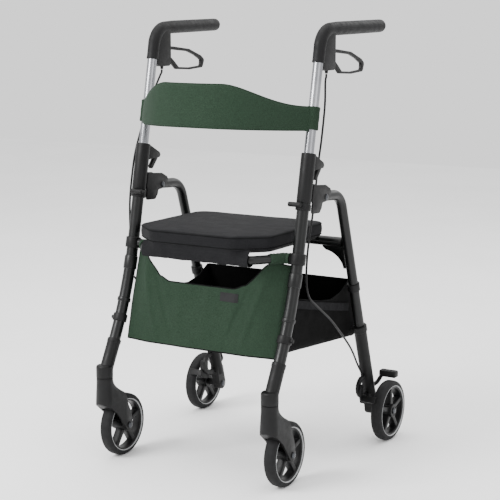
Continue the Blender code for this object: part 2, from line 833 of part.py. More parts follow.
def hanger_peg(name, side, plastic):
    """A clip on the leg under the sleeve, with a peg across the front of the leg to hang things on."""
    centre = post_point(side, PEG_RING_Z)
    inner = LEG_OD / 2 + FIT
    outer = inner + 0.0034
    obj = finish_mesh(name, bush(centre, POST_AXIS, PEG_RING_HEIGHT / 2, outer, inner), plastic)
    y = post_y(PEG_Z) - SLEEVE_OD / 2 - PEG_RADIUS - RUNNING
    start = Vector((side * PEG_INNER_X, y, PEG_Z))
    end = Vector((side * PEG_OUTER_X, y, PEG_Z))
    join(obj, f"{name} peg", rod(start, end, PEG_RADIUS, 14))
    return obj


def front_strap_clamp(name, side, plastic):
    """The clamp that holds the bag's lower front corner, with a screw knob on its outer side."""
    inner = LEG_OD / 2 + 2 * FIT
    centre = leg_point(side, CLAMP_Z)
    obj = finish_mesh(name, bush(centre, leg_axis(CLAMP_Z), CLAMP_HEIGHT / 2, CLAMP_OD / 2, inner), plastic)
    start = centre + ACROSS * side * (CLAMP_OD / 2 - 0.0015)
    join(obj, f"{name} knob", rod(start, start + ACROSS * side * (KNOB_LENGTH + 0.0015), KNOB_RADIUS, 12))
    return obj


def stem_point(side, height):
    return Vector((side * LEG_X, STEM_Y, height))


def caster_socket(name, side, plastic):
    """Fixed to the foot of the leg: a leaning sleeve over an upright housing for the caster's stem."""
    low = stem_point(side, SPLIT_Z)
    height = HOUSING_TOP_Z - SPLIT_Z
    edge = 0.003
    seat = STEM_RADIUS + FIT
    roof = STEM_TOP_Z - SPLIT_Z + 0.0015
    profile = [
        (0.0, seat),
        (roof, seat),
        (roof, 0.0),
        (height, 0.0),
        (height, HOUSING_OD / 2 - edge),
        (height - edge, HOUSING_OD / 2),
        (0.0, HOUSING_OD / 2),
    ]
    obj = finish_mesh(name, turned(low, UP, profile), plastic)
    bottom = leg_point(side, HOUSING_TOP_Z - 0.008)
    top = leg_point(side, SOCKET_TOP_Z)
    join(obj, f"{name} sleeve", rod(bottom, top, SOCKET_OD / 2))
    end = leg_point(side, LEG_END_Z - FIT)
    cut(obj, f"{name} bore", rod(end, leg_point(side, SOCKET_TOP_Z + 0.020), LEG_OD / 2 + 2 * FIT))
    return obj


def fork_plans():
    """Level sections of the fork's body: height, half width, reach ahead and behind, how square it is behind."""
    head = HOUSING_OD / 2 - 0.0003
    return [
        (SPLIT_Z - RUNNING, head, head, head, 2.0),
        (0.1950, 0.0198, 0.0198, 0.0222, 2.0),
        (0.1880, 0.0200, 0.0199, 0.0258, 2.1),
        (0.1810, 0.0205, 0.0200, 0.0330, 2.3),
        (0.1760, 0.0210, 0.0201, 0.0420, 2.6),
        (0.1710, 0.0216, 0.0202, 0.0520, 3.0),
        (0.1620, 0.0222, 0.0204, 0.0700, 3.6),
        (0.1500, FORK_HALF, 0.0206, 0.0900, 4.5),
        (0.1410, FORK_HALF, 0.0208, 0.0970, 5.0),
        (0.0400, FORK_HALF, 0.0208, 0.0970, 5.0),
    ]


def fork(name, side, plastic):
    """The caster's body: a round head, a hood over the front of the tyre, and two arms down to the axle."""
    x = side * LEG_X
    y = STEM_Y
    hub = y + TRAIL
    head = HOUSING_OD / 2
    top = SPLIT_Z - RUNNING
    bm = bmesh.new()
    rings = []
    for height, half, ahead, behind, square in fork_plans():
        ring = []
        for k in range(24):
            angle = 2.0 * math.pi * (k + 0.5) / 24
            behind_stem = math.sin(angle) > 0.0
            power = 2.0 / square if behind_stem else 1.0
            reach = behind if behind_stem else ahead
            across = math.copysign(abs(math.cos(angle)) ** power, math.cos(angle))
            along = math.copysign(abs(math.sin(angle)) ** power, math.sin(angle))
            ring.append(bm.verts.new((x + half * across, y + reach * along, height)))
        rings.append(ring)
    for first, second in zip(rings, rings[1:]):
        bridge(bm, first, second)
    bm.faces.new(rings[0])
    bm.faces.new(rings[-1])
    obj = finish_mesh(name, bm, plastic, (x, y, 0.0))
    outline = [
        (y - head - 0.0040, top + 0.0020),
        (y - head - 0.0040, 0.1470),
        (y - head + 0.0020, 0.1410),
        (y - 0.0010, 0.1310),
        (y + 0.0200, 0.1130),
        (y + 0.0400, 0.0880),
    ]
    outline += arc((hub, WHEEL_RADIUS), 0.0150, 205.0, 385.0, 5)
    outline += [
        (hub + 0.0080, 0.1060),
        (hub - 0.0040, 0.1290),
        (y + 0.0580, 0.1480),
        (y + 0.0560, 0.1600),
        (y + 0.0505, 0.1705),
        (y + 0.0430, 0.1760),
        (y + 0.0340, 0.1810),
        (y + 0.0280, 0.1880),
        (y + 0.0260, 0.1960),
        (y + 0.0260, top + 0.0020),
    ]
    slab = side_plate(outline, x - FORK_HALF - 0.004, x + FORK_HALF + 0.004)
    combine(obj, helper(f"{name} side view", slab), "INTERSECT")
    sink = stem_point(side, top - STEM_SINK)
    cut(obj, f"{name} stem bore", rod(sink, stem_point(side, top + 0.010), STEM_RADIUS + FIT, 12))
    axle = Vector((x, hub, WHEEL_RADIUS))
    reach = ACROSS * (FORK_HALF + 0.010)
    cut(obj, f"{name} axle bore", rod(axle - reach, axle + reach, AXLE_RADIUS + FIT, 12))
    half_slot = ACROSS * FORK_SLOT_HALF
    cut(obj, f"{name} wheel slot", rod(axle - half_slot, axle + half_slot, FORK_SLOT_RADIUS, 22))
    return obj


def caster_stem(name, side, steel):
    bottom = stem_point(side, SPLIT_Z - RUNNING - STEM_SINK + FIT)
    return finish_mesh(name, rod(bottom, stem_point(side, STEM_TOP_Z), STEM_RADIUS, 12), steel, tuple(bottom))


def wheel_centre(side, front):
    if front:
        return Vector((side * LEG_X, STEM_Y + TRAIL, WHEEL_RADIUS))
    return Vector((side * REAR_WHEEL_X, REAR_AXLE_Y, WHEEL_RADIUS))


def tyre(name, centre, rubber):
    half = TYRE_WIDTH / 2
    inner = TYRE_INNER_RADIUS
    round_over = TREAD_ROUND
    profile = [
        (-RIM_HALF, inner),
        (RIM_HALF, inner),
        (half, inner + 0.0025),
        (half, WHEEL_RADIUS - round_over),
        (half - round_over * 0.7, WHEEL_RADIUS),
        (-half + round_over * 0.7, WHEEL_RADIUS),
        (-half, WHEEL_RADIUS - round_over),
        (-half, inner + 0.0025),
    ]
    return finish_mesh(name, turned(centre, ACROSS, profile, 24), rubber, tuple(centre))


def rim(name, centre, plastic):
    """Hub, five spokes and the ring under the tyre, as one moulding."""
    outer = TYRE_INNER_RADIUS - FIT
    inner = outer - RIM_DEPTH
    obj = finish_mesh(name, bush(centre, ACROSS, RIM_HALF, outer, inner, 24), plastic, tuple(centre))
    join(obj, f"{name} hub", rod(centre - ACROSS * HUB_HALF, centre + ACROSS * HUB_HALF, HUB_RADIUS, 12))
    for k in range(SPOKES):
        angle = 2.0 * math.pi * k / SPOKES + math.pi / 2
        out = Vector((0.0, math.cos(angle), math.sin(angle)))
        aside = Vector((0.0, -math.sin(angle), math.cos(angle)))
        near = SPOKE_WIDTH / 2
        far = SPOKE_WIDTH / 2 * 0.8
        start = HUB_RADIUS - 0.003
        end = inner + 0.002
        outline = [(start, -near), (end, -far), (end, far), (start, near)]
        half = SPOKE_THICK / 2

        def place(u, v, w, out=out, aside=aside):
            return centre + out * u + aside * v + ACROSS * w

        join(obj, f"{name} spoke {k}", prism(outline, place, -half, half))
    reach = ACROSS * (HUB_HALF + 0.005)
    seat = AXLE_RADIUS + FIT
    cut(obj, f"{name} hub bore", rod(centre - reach, centre + reach, seat, 12))
    return obj


def axle(start, end):
    """A bolt with a round head at each end."""
    length = (end - start).length
    profile = [
        (-AXLE_HEAD, 0.0),
        (-AXLE_HEAD, AXLE_HEAD_RADIUS),
        (0.0, AXLE_HEAD_RADIUS),
        (0.0, AXLE_RADIUS),
        (length, AXLE_RADIUS),
        (length, AXLE_HEAD_RADIUS),
        (length + AXLE_HEAD, AXLE_HEAD_RADIUS),
        (length + AXLE_HEAD, 0.0),
    ]
    return turned(start, end - start, profile, 12)


def front_axle(name, side, steel):
    centre = wheel_centre(side, True)
    reach = ACROSS * (FORK_HALF + FIT)
    return finish_mesh(name, axle(centre - reach, centre + reach), steel, tuple(centre))


def rear_axle(name, side, steel):
    """The bolt goes from the inner face of the leg's foot through the wheel."""
    inner = Vector((side * (LEG_X - BOSS_HALF - FIT), REAR_AXLE_Y, WHEEL_RADIUS))
    outer = Vector((side * (REAR_WHEEL_X + HUB_HALF + FIT), REAR_AXLE_Y, WHEEL_RADIUS))
    return finish_mesh(name, axle(inner, outer), steel)


def rear_leg(name, side, steel):
    """One bent tube: the arch from the hinge, the bend, and the leg down into its foot."""
    x = side * LEG_X
    slope = ARCH_DROP
    corner_y = (REAR_REF_Y + REAR_LEAN * (REAR_REF_Z - FOLD_Z - slope * FOLD_Y)) / (1.0 - REAR_LEAN * slope)
    corners = [
        Vector((x, ARCH_FRONT_Y, arch_z(ARCH_FRONT_Y))),
        Vector((x, corner_y, arch_z(corner_y))),
        rear_point(side, LEG_END_SEAT_Z + FIT),
    ]
    path = rounded_path(corners, [ARCH_RADIUS], 5)
    tube = sweep(path, ACROSS, REAR_LEG_OD / 2, REAR_LEG_OD / 2 - REAR_LEG_WALL)
    obj = finish_mesh(name, tube, steel, (x, FOLD_Y, FOLD_Z))
    hinge = Vector((x, FOLD_Y, FOLD_Z))
    reach = ACROSS * REAR_LEG_OD
    cut(obj, f"{name} hinge bore", rod(hinge - reach, hinge + reach, FOLD_PIN_RADIUS + FIT, 12))
    return obj


def frame_pivot_pin(name, side, steel):
    half = REAR_LEG_OD / 2 + RUNNING + CHEEK_THICK + FIT
    centre = Vector((side * LEG_X, FOLD_Y, FOLD_Z))
    profile = [
        (-half - FOLD_HEAD, 0.0),
        (-half - FOLD_HEAD, FOLD_HEAD_RADIUS),
        (-half, FOLD_HEAD_RADIUS),
        (-half, FOLD_PIN_RADIUS),
        (half, FOLD_PIN_RADIUS),
        (half, FOLD_HEAD_RADIUS),
        (half + FOLD_HEAD, FOLD_HEAD_RADIUS),
        (half + FOLD_HEAD, 0.0),
    ]
    return finish_mesh(name, turned(centre, ACROSS, profile, 12), steel, tuple(centre))


BOARD_LOW_Z = BAR_Z + SEAT_RISE
BOARD_TOP_Z = BOARD_LOW_Z + BOARD_THICK
REAR_BAR_Z = BOARD_LOW_Z - FIT - REAR_BAR_OD / 2
KNUCKLE_RADIUS = BAR_OD / 2 + RUNNING + KNUCKLE_WALL


def gusset(side):
    """A plate in the corner under the rear crossbar, with a hollow inner edge."""
    down = -REAR_AXIS
    through = Vector((0.0, down.z, -down.y))
    start = rear_point(side, REAR_BAR_Z) - ACROSS * side * (REAR_LEG_OD / 2 + FIT)
    seat = REAR_BAR_OD / 2 - REAR_LEG_WALL / 2
    edge = REAR_BAR_OD / 2 + 0.004
    outline = [(0.0, seat), (GUSSET_REACH, seat), (GUSSET_REACH, edge)]
    hollow = arc((GUSSET_REACH, edge + GUSSET_DROP), GUSSET_REACH - 0.008, 265.0, 185.0, 6)
    outline += [(u, max(v, edge)) for u, v in hollow[1:]]
    outline += [(0.008, edge + GUSSET_DROP), (0.0, edge + GUSSET_DROP)]

    def place(u, v, w):
        return start - ACROSS * side * u + down * v + through * w

    return prism(outline, place, -GUSSET_THICK / 2, GUSSET_THICK / 2)


def rear_crossbar(name, steel):
    """The bar that the seat's rear edge rests on, with a gusset welded under each end."""
    reach = LEG_X - REAR_LEG_OD / 2 - FIT
    y = rear_y(REAR_BAR_Z)
    path = [Vector((-reach, y, REAR_BAR_Z)), Vector((reach, y, REAR_BAR_Z))]
    pipe = sweep(path, UP, REAR_BAR_OD / 2, REAR_BAR_OD / 2 - REAR_LEG_WALL, 16)
    obj = finish_mesh(name, pipe, steel, (0.0, y, REAR_BAR_Z))
    for side in (-1.0, 1.0):
        join(obj, f"{name} gusset {side:.0f}", gusset(side))
    return obj


def rear_strap_clamp(name, side, plastic):
    """The clamp on the rear leg that the bag's side strap is fixed to."""
    inner = REAR_LEG_OD / 2 + FIT
    centre = rear_point(side, REAR_CLAMP_Z)
    obj = finish_mesh(name, bush(centre, REAR_AXIS, REAR_CLAMP_HEIGHT / 2, REAR_CLAMP_OD / 2, inner), plastic)
    start = centre - ACROSS * side * (REAR_CLAMP_OD / 2 - 0.0015)
    join(obj, f"{name} stud", rod(start, start - ACROSS * side * 0.0035, KNOB_RADIUS, 12))
    return obj


def step_pedal(side):
    """The step over the wheel that tips the walker up a kerb: a pad, and the path of its stalk."""
    near = side * (LEG_X + 0.0120)
    far = near + side * PEDAL_WIDTH
    outline = rounded_outline(
        [
            (min(near, far), PEDAL_Y - PEDAL_DEPTH / 2),
            (max(near, far), PEDAL_Y - PEDAL_DEPTH / 2),
            (max(near, far), PEDAL_Y + PEDAL_DEPTH / 2),
            (min(near, far), PEDAL_Y + PEDAL_DEPTH / 2),
        ],
        0.005,
        2,
    )
    pad = level_plate(outline, PEDAL_Z, PEDAL_Z + PEDAL_THICK)
    foot = 0.128
    start = Vector((side * LEG_X, rear_y(foot) + 0.006, foot))
    bend = Vector((side * (LEG_X + 0.006), PEDAL_Y - 0.004, foot + 0.008))
    end = Vector((side * (LEG_X + 0.020), PEDAL_Y, PEDAL_Z + PEDAL_THICK / 2))
    stalk = sweep(rounded_path([start, bend, end], [0.008], 3), ACROSS, PEDAL_STALK_RADIUS, None, 10)
    return pad, stalk


def leg_end(name, side, plastic):
    """The moulded foot of the rear leg: it holds the axle, the brake's pivot and the cable stop."""
    x = side * LEG_X
    collar = 0.016
    top = rear_point(side, LEG_END_TOP_Z)
    length = (LEG_END_TOP_Z - LEG_END_BOTTOM_Z) * math.sqrt(1.0 + REAR_LEAN**2)
    profile = [
        (0.0, 0.0),
        (0.0, LEG_END_OD / 2 + 0.0012),
        (-collar, LEG_END_OD / 2 + 0.0012),
        (-collar, LEG_END_OD / 2 - 0.001),
        (-length, LEG_END_OD / 2 - 0.001),
        (-length, 0.0),
    ]
    obj = finish_mesh(name, turned(top, REAR_AXIS, profile), plastic)
    hub = Vector((x, REAR_AXLE_Y, WHEEL_RADIUS))
    web = [
        (rear_y(0.125) - 0.013, 0.125),
        (REAR_AXLE_Y - BOSS_RADIUS * 0.98, WHEEL_RADIUS + 0.003),
        (REAR_AXLE_Y + BOSS_RADIUS * 0.98, WHEEL_RADIUS + 0.003),
        (rear_y(0.125) + 0.014, 0.125),
    ]
    join(obj, f"{name} web", side_plate(web, x - 0.0110, x + 0.0110))
    boss = rod(hub - ACROSS * BOSS_HALF, hub + ACROSS * BOSS_HALF, BOSS_RADIUS, 14)
    join(obj, f"{name} axle boss", boss)
    spacer_end = Vector((side * (REAR_WHEEL_X - HUB_HALF - RUNNING), REAR_AXLE_Y, WHEEL_RADIUS))
    join(obj, f"{name} spacer", rod(hub, spacer_end, AXLE_RADIUS + 0.0045, 12))
    stop = [
        (rear_y(0.165), STOP_Z + 0.0060),
        (0.1680, STOP_Z + 0.0045),
        (0.1580, STOP_Z - 0.0020),
        (0.1510, 0.1500),
        (0.1490, 0.1400),
        (0.1520, 0.1290),
        (0.1600, 0.1190),
        (0.1720, 0.1120),
        (0.1900, 0.1085),
        (rear_y(0.112), 0.1085),
        (rear_y(0.120), 0.1200),
        (0.1900, 0.1200),
        (0.1760, 0.1225),
        (0.1670, 0.1290),
        (0.1635, 0.1380),
        (0.1645, 0.1480),
        (0.1700, 0.1545),
        (0.1800, 0.1575),
        (rear_y(0.158), 0.1580),
    ]
    join(obj, f"{name} cable stop", side_plate(stop, x - STOP_THICK / 2, x + STOP_THICK / 2))
    pin = Vector((x, ARM_PIVOT_Y, ARM_PIVOT_Z))
    pin_end = pin + ACROSS * side * (ARM_X + ARM_THICK + 2 * FIT + ARM_HEAD)
    join(obj, f"{name} brake pin", rod(pin, pin_end, LEVER_PIN_RADIUS, 12))
    join(obj, f"{name} brake pin head", rod(pin_end - ACROSS * side * ARM_HEAD, pin_end, ARM_HEAD_RADIUS, 12))
    knob = rear_point(side, 0.226) + BACK * 0.010
    join(obj, f"{name} knob", rod(knob, knob + BACK * 0.0135 + UP * 0.003, 0.0052, 12))
    pad, stalk = step_pedal(side)
    join(obj, f"{name} pedal", pad)
    join(obj, f"{name} pedal stalk", stalk)
    seat = rear_point(side, LEG_END_SEAT_Z)
    bore = REAR_LEG_OD / 2 + FIT
    cut(obj, f"{name} bore", rod(seat, rear_point(side, LEG_END_TOP_Z + 0.020), bore))
    reach = ACROSS * 0.080
    cut(obj, f"{name} axle bore", rod(hub - reach, hub + reach, AXLE_RADIUS + FIT, 12))
    return obj


ARM_X = STOP_THICK / 2 + RUNNING


def brake_arm(name, side, steel):
    """The arm that the cable draws up. Its shoe then presses on the front of the tyre."""
    near = side * (LEG_X + ARM_X)
    far = side * (LEG_X + ARM_X + ARM_THICK)
    low = min(near, far)
    high = max(near, far)
    distance = WHEEL_RADIUS + SHOE_GAP
    toward = Vector((0.0, math.cos(SHOE_ANGLE), math.sin(SHOE_ANGLE)))
    along = Vector((0.0, -math.sin(SHOE_ANGLE), math.cos(SHOE_ANGLE)))
    hub = Vector((0.0, REAR_AXLE_Y, WHEEL_RADIUS))
    face = hub + toward * distance
    outline = [
        (ARM_PIVOT_Y + 0.0055, ARM_PIVOT_Z + 0.0055),
        (ARM_PIVOT_Y - 0.0055, ARM_PIVOT_Z + 0.0055),
        (ARM_PIVOT_Y - 0.0080, ARM_PIVOT_Z - 0.0040),
        (face.y - 0.0085, face.z + 0.0040),
        (face.y - 0.0040, face.z - 0.0100),
        (ARM_TAIL_Y - 0.0090, face.z - 0.0170),
        (ARM_TAIL_Y, face.z - 0.0150),
        (ARM_TAIL_Y, face.z - 0.0060),
        (ARM_TAIL_Y - 0.0090, face.z - 0.0050),
        (face.y + 0.0070, face.z + 0.0020),
        (ARM_PIVOT_Y + 0.0080, ARM_PIVOT_Z - 0.0050),
    ]
    origin = (side * LEG_X, ARM_PIVOT_Y, ARM_PIVOT_Z)
    obj = finish_mesh(name, side_plate(outline, low, high), steel, origin)
    half = SHOE_LENGTH / 2
    inner = side * (LEG_X + ARM_X + ARM_THICK - 0.001)
    outer = side * SHOE_END_X
    corners = [
        face + along * half,
        face - along * half,
        face - along * half + toward * SHOE_THICK,
        face + along * half + toward * SHOE_THICK,
    ]
    shoe = [(corner.y, corner.z) for corner in corners]
    join(obj, f"{name} shoe", side_plate(shoe, min(inner, outer), max(inner, outer)))
    pivot = Vector((side * LEG_X, ARM_PIVOT_Y, ARM_PIVOT_Z))
    reach = ACROSS * 0.030
    cut(obj, f"{name} pivot bore", rod(pivot - reach, pivot + reach, LEVER_PIN_RADIUS + FIT, 12))
    return obj


def seat_outline(inset):
    """Plan of the seat: its front edge follows the bowed crossbar."""
    half = SEAT_HALF - inset
    front = SEAT_FRONT_Y + inset
    corner = SEAT_CORNER_Y + inset
    rear = SEAT_REAR_Y - inset
    middle = BAR_MIDDLE_HALF - 0.034
    corners = [(-half, corner), (-middle, front), (middle, front), (half, corner), (half, rear), (-half, rear)]
    return rounded_outline(corners, SEAT_CORNER_RADIUS, 4)


def bar_axis_y():
    return leg_y(BAR_Z) - BAR_BOW


def seat_board(name, plastic):
    """The hard plate under the cushion, held on the front crossbar by two knuckles, at rest on the rear one."""
    y = bar_axis_y()
    plate = level_plate(seat_outline(BOARD_INSET), BOARD_LOW_Z, BOARD_TOP_Z)
    obj = finish_mesh(name, plate, plastic, (0.0, y, BAR_Z))
    for side in (-1.0, 1.0):
        centre = Vector((side * KNUCKLE_X, y, BAR_Z))
        half = KNUCKLE_WIDTH / 2
        knuckle = rod(centre - ACROSS * half, centre + ACROSS * half, KNUCKLE_RADIUS)
        join(obj, f"{name} knuckle {side:.0f}", knuckle)
        low = (side * KNUCKLE_X - half * 0.98, y - 0.006, BAR_Z + BAR_OD / 2 + 0.001)
        high = (side * KNUCKLE_X + half * 0.98, y + 0.014, BOARD_LOW_Z + 0.002)
        join(obj, f"{name} web {side:.0f}", box(low, high))
        rear = rear_y(REAR_BAR_Z)
        tab_low = (side * REST_TAB_X - REST_TAB_WIDTH / 2, rear - 0.050, BOARD_LOW_Z + 0.0001)
        tab_high = (side * REST_TAB_X + REST_TAB_WIDTH / 2, rear + 0.006, BOARD_TOP_Z - 0.0012)
        join(obj, f"{name} tab {side:.0f}", box(tab_low, tab_high))
    reach = ACROSS * 0.130
    middle = Vector((0.0, y, BAR_Z))
    cut(obj, f"{name} bore", rod(middle - reach, middle + reach, BAR_OD / 2 + RUNNING, 12))
    return obj


def seat_cushion(name, fabric):
    """Padded seat: sides drawn in above the seam, a rounded upper edge and a low crown."""
    low = BOARD_TOP_Z + FIT
    edge = CUSHION_EDGE_Z
    thick = edge - low
    levels = [
        (0.006, low),
        (0.001, low + 0.10 * thick),
        (CUSHION_DRAW, low + 0.45 * thick),
        (0.0, low + 0.72 * thick),
        (0.0030, low + 0.90 * thick),
        (0.0110, edge),
        (0.0500, edge + CUSHION_CROWN * 0.6),
        (0.0950, edge + CUSHION_CROWN),
    ]
    bm = bmesh.new()
    loops = []
    for inset, height in levels:
        loops.append([bm.verts.new((x, y, height)) for x, y in seat_outline(inset)])
    for first, second in zip(loops, loops[1:]):
        bridge(bm, first, second)
    bm.faces.new(loops[0])
    bm.faces.new(loops[-1])
    return finish_mesh(name, bm, fabric, (0.0, bar_axis_y(), BAR_Z))


def seat_flap(name, fabric):
    """The cover's front flap, sewn round the crossbar's middle and up to the seat board."""
    y = bar_axis_y()
    inner = KNUCKLE_RADIUS + 2 * FIT
    outer = inner + FLAP_WALL
    centre = Vector((0.0, y, BAR_Z))
    start = 118.0
    end = 352.0
    outline = arc((y, BAR_Z), outer, start, end, 10)
    outline += arc((y, BAR_Z), inner, end, start, 10)
    flap = side_plate(outline, -FLAP_HALF, FLAP_HALF)
    return finish_mesh(name, flap, fabric, tuple(centre))


def bag_front_y(x, height):
    """The bag's front face: flat in the middle, its edges turned back towards the legs."""
    share = (height - BAG_FRONT_BOTTOM_Z) / (BAG_TOP_Z - BAG_FRONT_BOTTOM_Z)
    turn_low = smooth_step((abs(x) - BAG_TURN_BOTTOM_X) / (BAG_HALF - BAG_TURN_BOTTOM_X))
    turn_high = smooth_step((abs(x) - BAG_TURN_TOP_X) / (BAG_HALF - BAG_TURN_TOP_X))
    low = BAG_FRONT_BOTTOM_Y + BAG_TURN_BOTTOM * turn_low
    high = BAG_FRONT_TOP_Y + BAG_TURN_TOP * turn_high
    return low + share * (high - low)


def loop_line(side):
    """Middle and direction of the slanting bar where the bag's corner loop goes round it."""
    y = leg_y(BAR_Z)
    bend = Vector((side * (LEG_X - COLLAR_OD / 2 - FIT - BAR_END_RUN), y, BAR_Z))
    slant = (Vector((side * BAR_MIDDLE_HALF, y - BAR_BOW, BAR_Z)) - bend).normalized()
    return bend + slant * LOOP_PLACE, slant


# Half of the front panel's upper edge, as (x, z): the wide dip, the loop, and the corner by the leg
PANEL_TOP = [
    (0.0850, CUTOUT_Z),
    (0.1170, 0.4500),
    (0.1450, 0.4780),
    (0.1630, 0.4990),
    (0.1708, LOOP_TOP_Z),
    (0.1780, LOOP_TOP_Z),
    (0.1850, LOOP_TOP_Z),
    (0.1900, 0.4990),
    (0.1990, 0.4970),
    (BAG_HALF, 0.4955),
]


def bag_front_panel(name, fabric):
    """The bag's front: a sheet with a wide dip in its upper edge and a loop at each upper corner."""
    bm = bmesh.new()
    sections = []
    for x, top in [(-x, z) for x, z in PANEL_TOP[::-1]] + PANEL_TOP:
        taper = BAG_FOOT_TAPER / BAG_HALF if abs(x) == BAG_HALF else 0.0
        points = []
        for height, narrow in ((BAG_FRONT_BOTTOM_Z, taper), (BAG_FOOT_Z, 0.0), (top, 0.0)):
            place = x * (1.0 - narrow)
            points.append(Vector((place, bag_front_y(place, height), height)))
        ring = points + [point + BACK * BAG_WALL for point in points[::-1]]
        sections.append([bm.verts.new(point) for point in ring])
    for first, second in zip(sections, sections[1:]):
        bridge(bm, first, second)
    bm.faces.new(sections[0])
    bm.faces.new(sections[-1])
    obj = finish_mesh(name, bm, fabric)
    inner = BAR_OD / 2 + 2 * FIT
    for side in (-1.0, 1.0):
        centre, slant = loop_line(side)
        join(obj, f"{name} loop {side:.0f}", bush(centre, slant, LOOP_HALF, inner + BAG_WALL, inner, 16))
    for side in (-1.0, 1.0):
        centre, slant = loop_line(side)
        reach = slant * (LOOP_HALF + 0.008)
        cut(obj, f"{name} bar {side:.0f}", rod(centre - reach, centre + reach, inner, 16))
    return obj


def bag_profile(inset):
    """Side view of the bag as (y, z) corners, drawn in by a wall."""
    front = BAG_WALL + BAG_FRONT_GAP
    return [
        (BAG_FRONT_TOP_Y + front + inset, BAG_TOP_Z - 0.004),
        (BAG_FRONT_BOTTOM_Y + front + inset, BAG_FRONT_BOTTOM_Z + 0.002 + inset),
        (BAG_REAR_BOTTOM_Y - inset, BAG_REAR_BOTTOM_Z + inset),
        (BAG_REAR_TOP_Y - inset, BAG_REAR_TOP_Z),
    ]


def bag_front_room():
    """The room in front of the bag's body, for the front panel and what lies ahead of it."""
    bm = bmesh.new()
    sections = []
    stations = [x for x, _ in PANEL_TOP] + [BAG_HALF + 0.004]
    for x in [-x for x in stations[::-1]] + stations:
        section = []
        for height in (BAG_REAR_BOTTOM_Z - 0.010, BAG_TOP_Z + 0.010):
            section.append(Vector((x, bag_front_y(x, height) + BAG_WALL + BAG_FRONT_GAP, height)))
        section += [point - BACK * 0.080 for point in section[::-1]]
        sections.append([bm.verts.new(point) for point in section])
    for first, second in zip(sections, sections[1:]):
        bridge(bm, first, second)
    bm.faces.new(sections[0])
    bm.faces.new(sections[-1])
    return bm


def bag_side_dip():
    """Side view of what is cut away above the sides, whose edges hang lower than the back's."""
    front = bag_front_y(BAG_HALF, BAG_SIDE_FRONT_Z) - 0.010
    above = BAG_TOP_Z + 0.020
    return [
        (front, BAG_SIDE_FRONT_Z + 0.0018),
        (BAG_SIDE_MIDDLE_Y, BAG_SIDE_MIDDLE_Z),
        (BAG_SIDE_LOW_Y, BAG_SIDE_LOW_Z),
        (0.5 * (BAG_SIDE_LOW_Y + BAG_REAR_TOP_Y), BAG_SIDE_LOW_Z + 0.009),
        (BAG_REAR_TOP_Y - BAG_WALL, BAG_REAR_TOP_Z),
        (BAG_REAR_TOP_Y - BAG_WALL, above),
        (front, above),
    ]


def bag_body(name, fabric):
    """Sides, back and base of the bag, open at the top and at the front panel's dip."""
    half = BAG_BODY_HALF
    obj = finish_mesh(name, side_plate(bag_profile(0.0), -half, half), fabric)
    inner = bag_profile(BAG_WALL)
    lift = 0.080
    opened = [(inner[0][0], inner[0][1] + lift), inner[1], inner[2], (inner[3][0], inner[3][1] + lift + 0.080)]
    front = [(y - 0.050 if index < 2 else y, z) for index, (y, z) in enumerate(opened)]
    cut(obj, f"{name} inside", side_plate(front, -half + BAG_WALL, half - BAG_WALL))
    cut(obj, f"{name} side dip", side_plate(bag_side_dip(), -half - BAG_WALL, half + BAG_WALL))
    cut(obj, f"{name} front", bag_front_room())
    return obj


def bag_side_strap(name, side, webbing):
    """A band on the side of the bag, from the front leg to the rear leg."""
    inner = side * (BAG_BODY_HALF + FIT)
    outer = inner + side * STRAP_THICK
    half = STRAP_WIDTH / 2
    front = leg_y(STRAP_Z) + 0.010
    rear = rear_y(STRAP_REAR_Z) - 0.006
    lower = [(front, STRAP_Z - half), (rear, STRAP_REAR_Z - half)]
    upper = [(rear, STRAP_REAR_Z + half), (front, STRAP_Z + half)]
    outline = lower + upper
    return finish_mesh(name, side_plate(outline, min(inner, outer), max(inner, outer)), webbing)


# Where the cables run, as points on the right side. Both end on the same way to the rear foot.
CABLE_FOOT = [
    (0.2430, -0.1290, 0.4230),
    (0.2430, -0.0863, 0.3920),
    (0.2430, -0.0270, 0.3531),
    (0.2420, 0.0261, 0.3113),
    (0.2400, 0.0722, 0.2735),
    (0.2370, 0.1050, 0.2430),
    (0.2310, 0.1400, 0.2080),
]
RIGHT_ROUTE = [
    (0.2190, -0.0160, 0.9000),
    (0.2120, -0.0044, 0.8450),
    (0.2030, -0.0017, 0.7700),
    (0.2000, -0.0081, 0.7250),
    (0.2000, -0.0191, 0.6750),
    (0.2030, -0.0407, 0.6020),
    (0.2100, -0.0671, 0.5600),
    (0.2240, -0.1043, 0.5120),
    (0.2400, -0.1373, 0.4600),
]
LEFT_ROUTE = [
    (0.2350, -0.0230, 0.9000),
    (0.2430, -0.0600, 0.8350),
    (0.2480, -0.0850, 0.7750),
    (0.2500, -0.1060, 0.7250),
    (0.2500, -0.1200, 0.6750),
    (0.2490, -0.1330, 0.6050),
    (0.2450, -0.1390, 0.5120),
    (0.2440, -0.1440, 0.4600),
]


def smooth_route(points, count):
    """Even points on a smooth curve through the route's own points."""
    dense = []
    steps = 24
    padded = [2 * points[0] - points[1]] + points + [2 * points[-1] - points[-2]]
    for a, b, c, d in zip(padded, padded[1:], padded[2:], padded[3:]):
        for k in range(steps):
            t = k / steps
            dense.append(
                0.5 * (2 * b + (c - a) * t + (2 * a - 5 * b + 4 * c - d) * t**2 + (3 * b - a - 3 * c + d) * t**3)
            )
    dense.append(points[-1])
    lengths = [0.0]
    for first, second in zip(dense, dense[1:]):
        lengths.append(lengths[-1] + (second - first).length)
    result = []
    place = 0
    for k in range(count):
        target = lengths[-1] * k / (count - 1)
        while place < len(lengths) - 2 and lengths[place + 1] < target:
            place += 1
        share = (target - lengths[place]) / (lengths[place + 1] - lengths[place])
        result.append(dense[place].lerp(dense[place + 1], share))
    return result


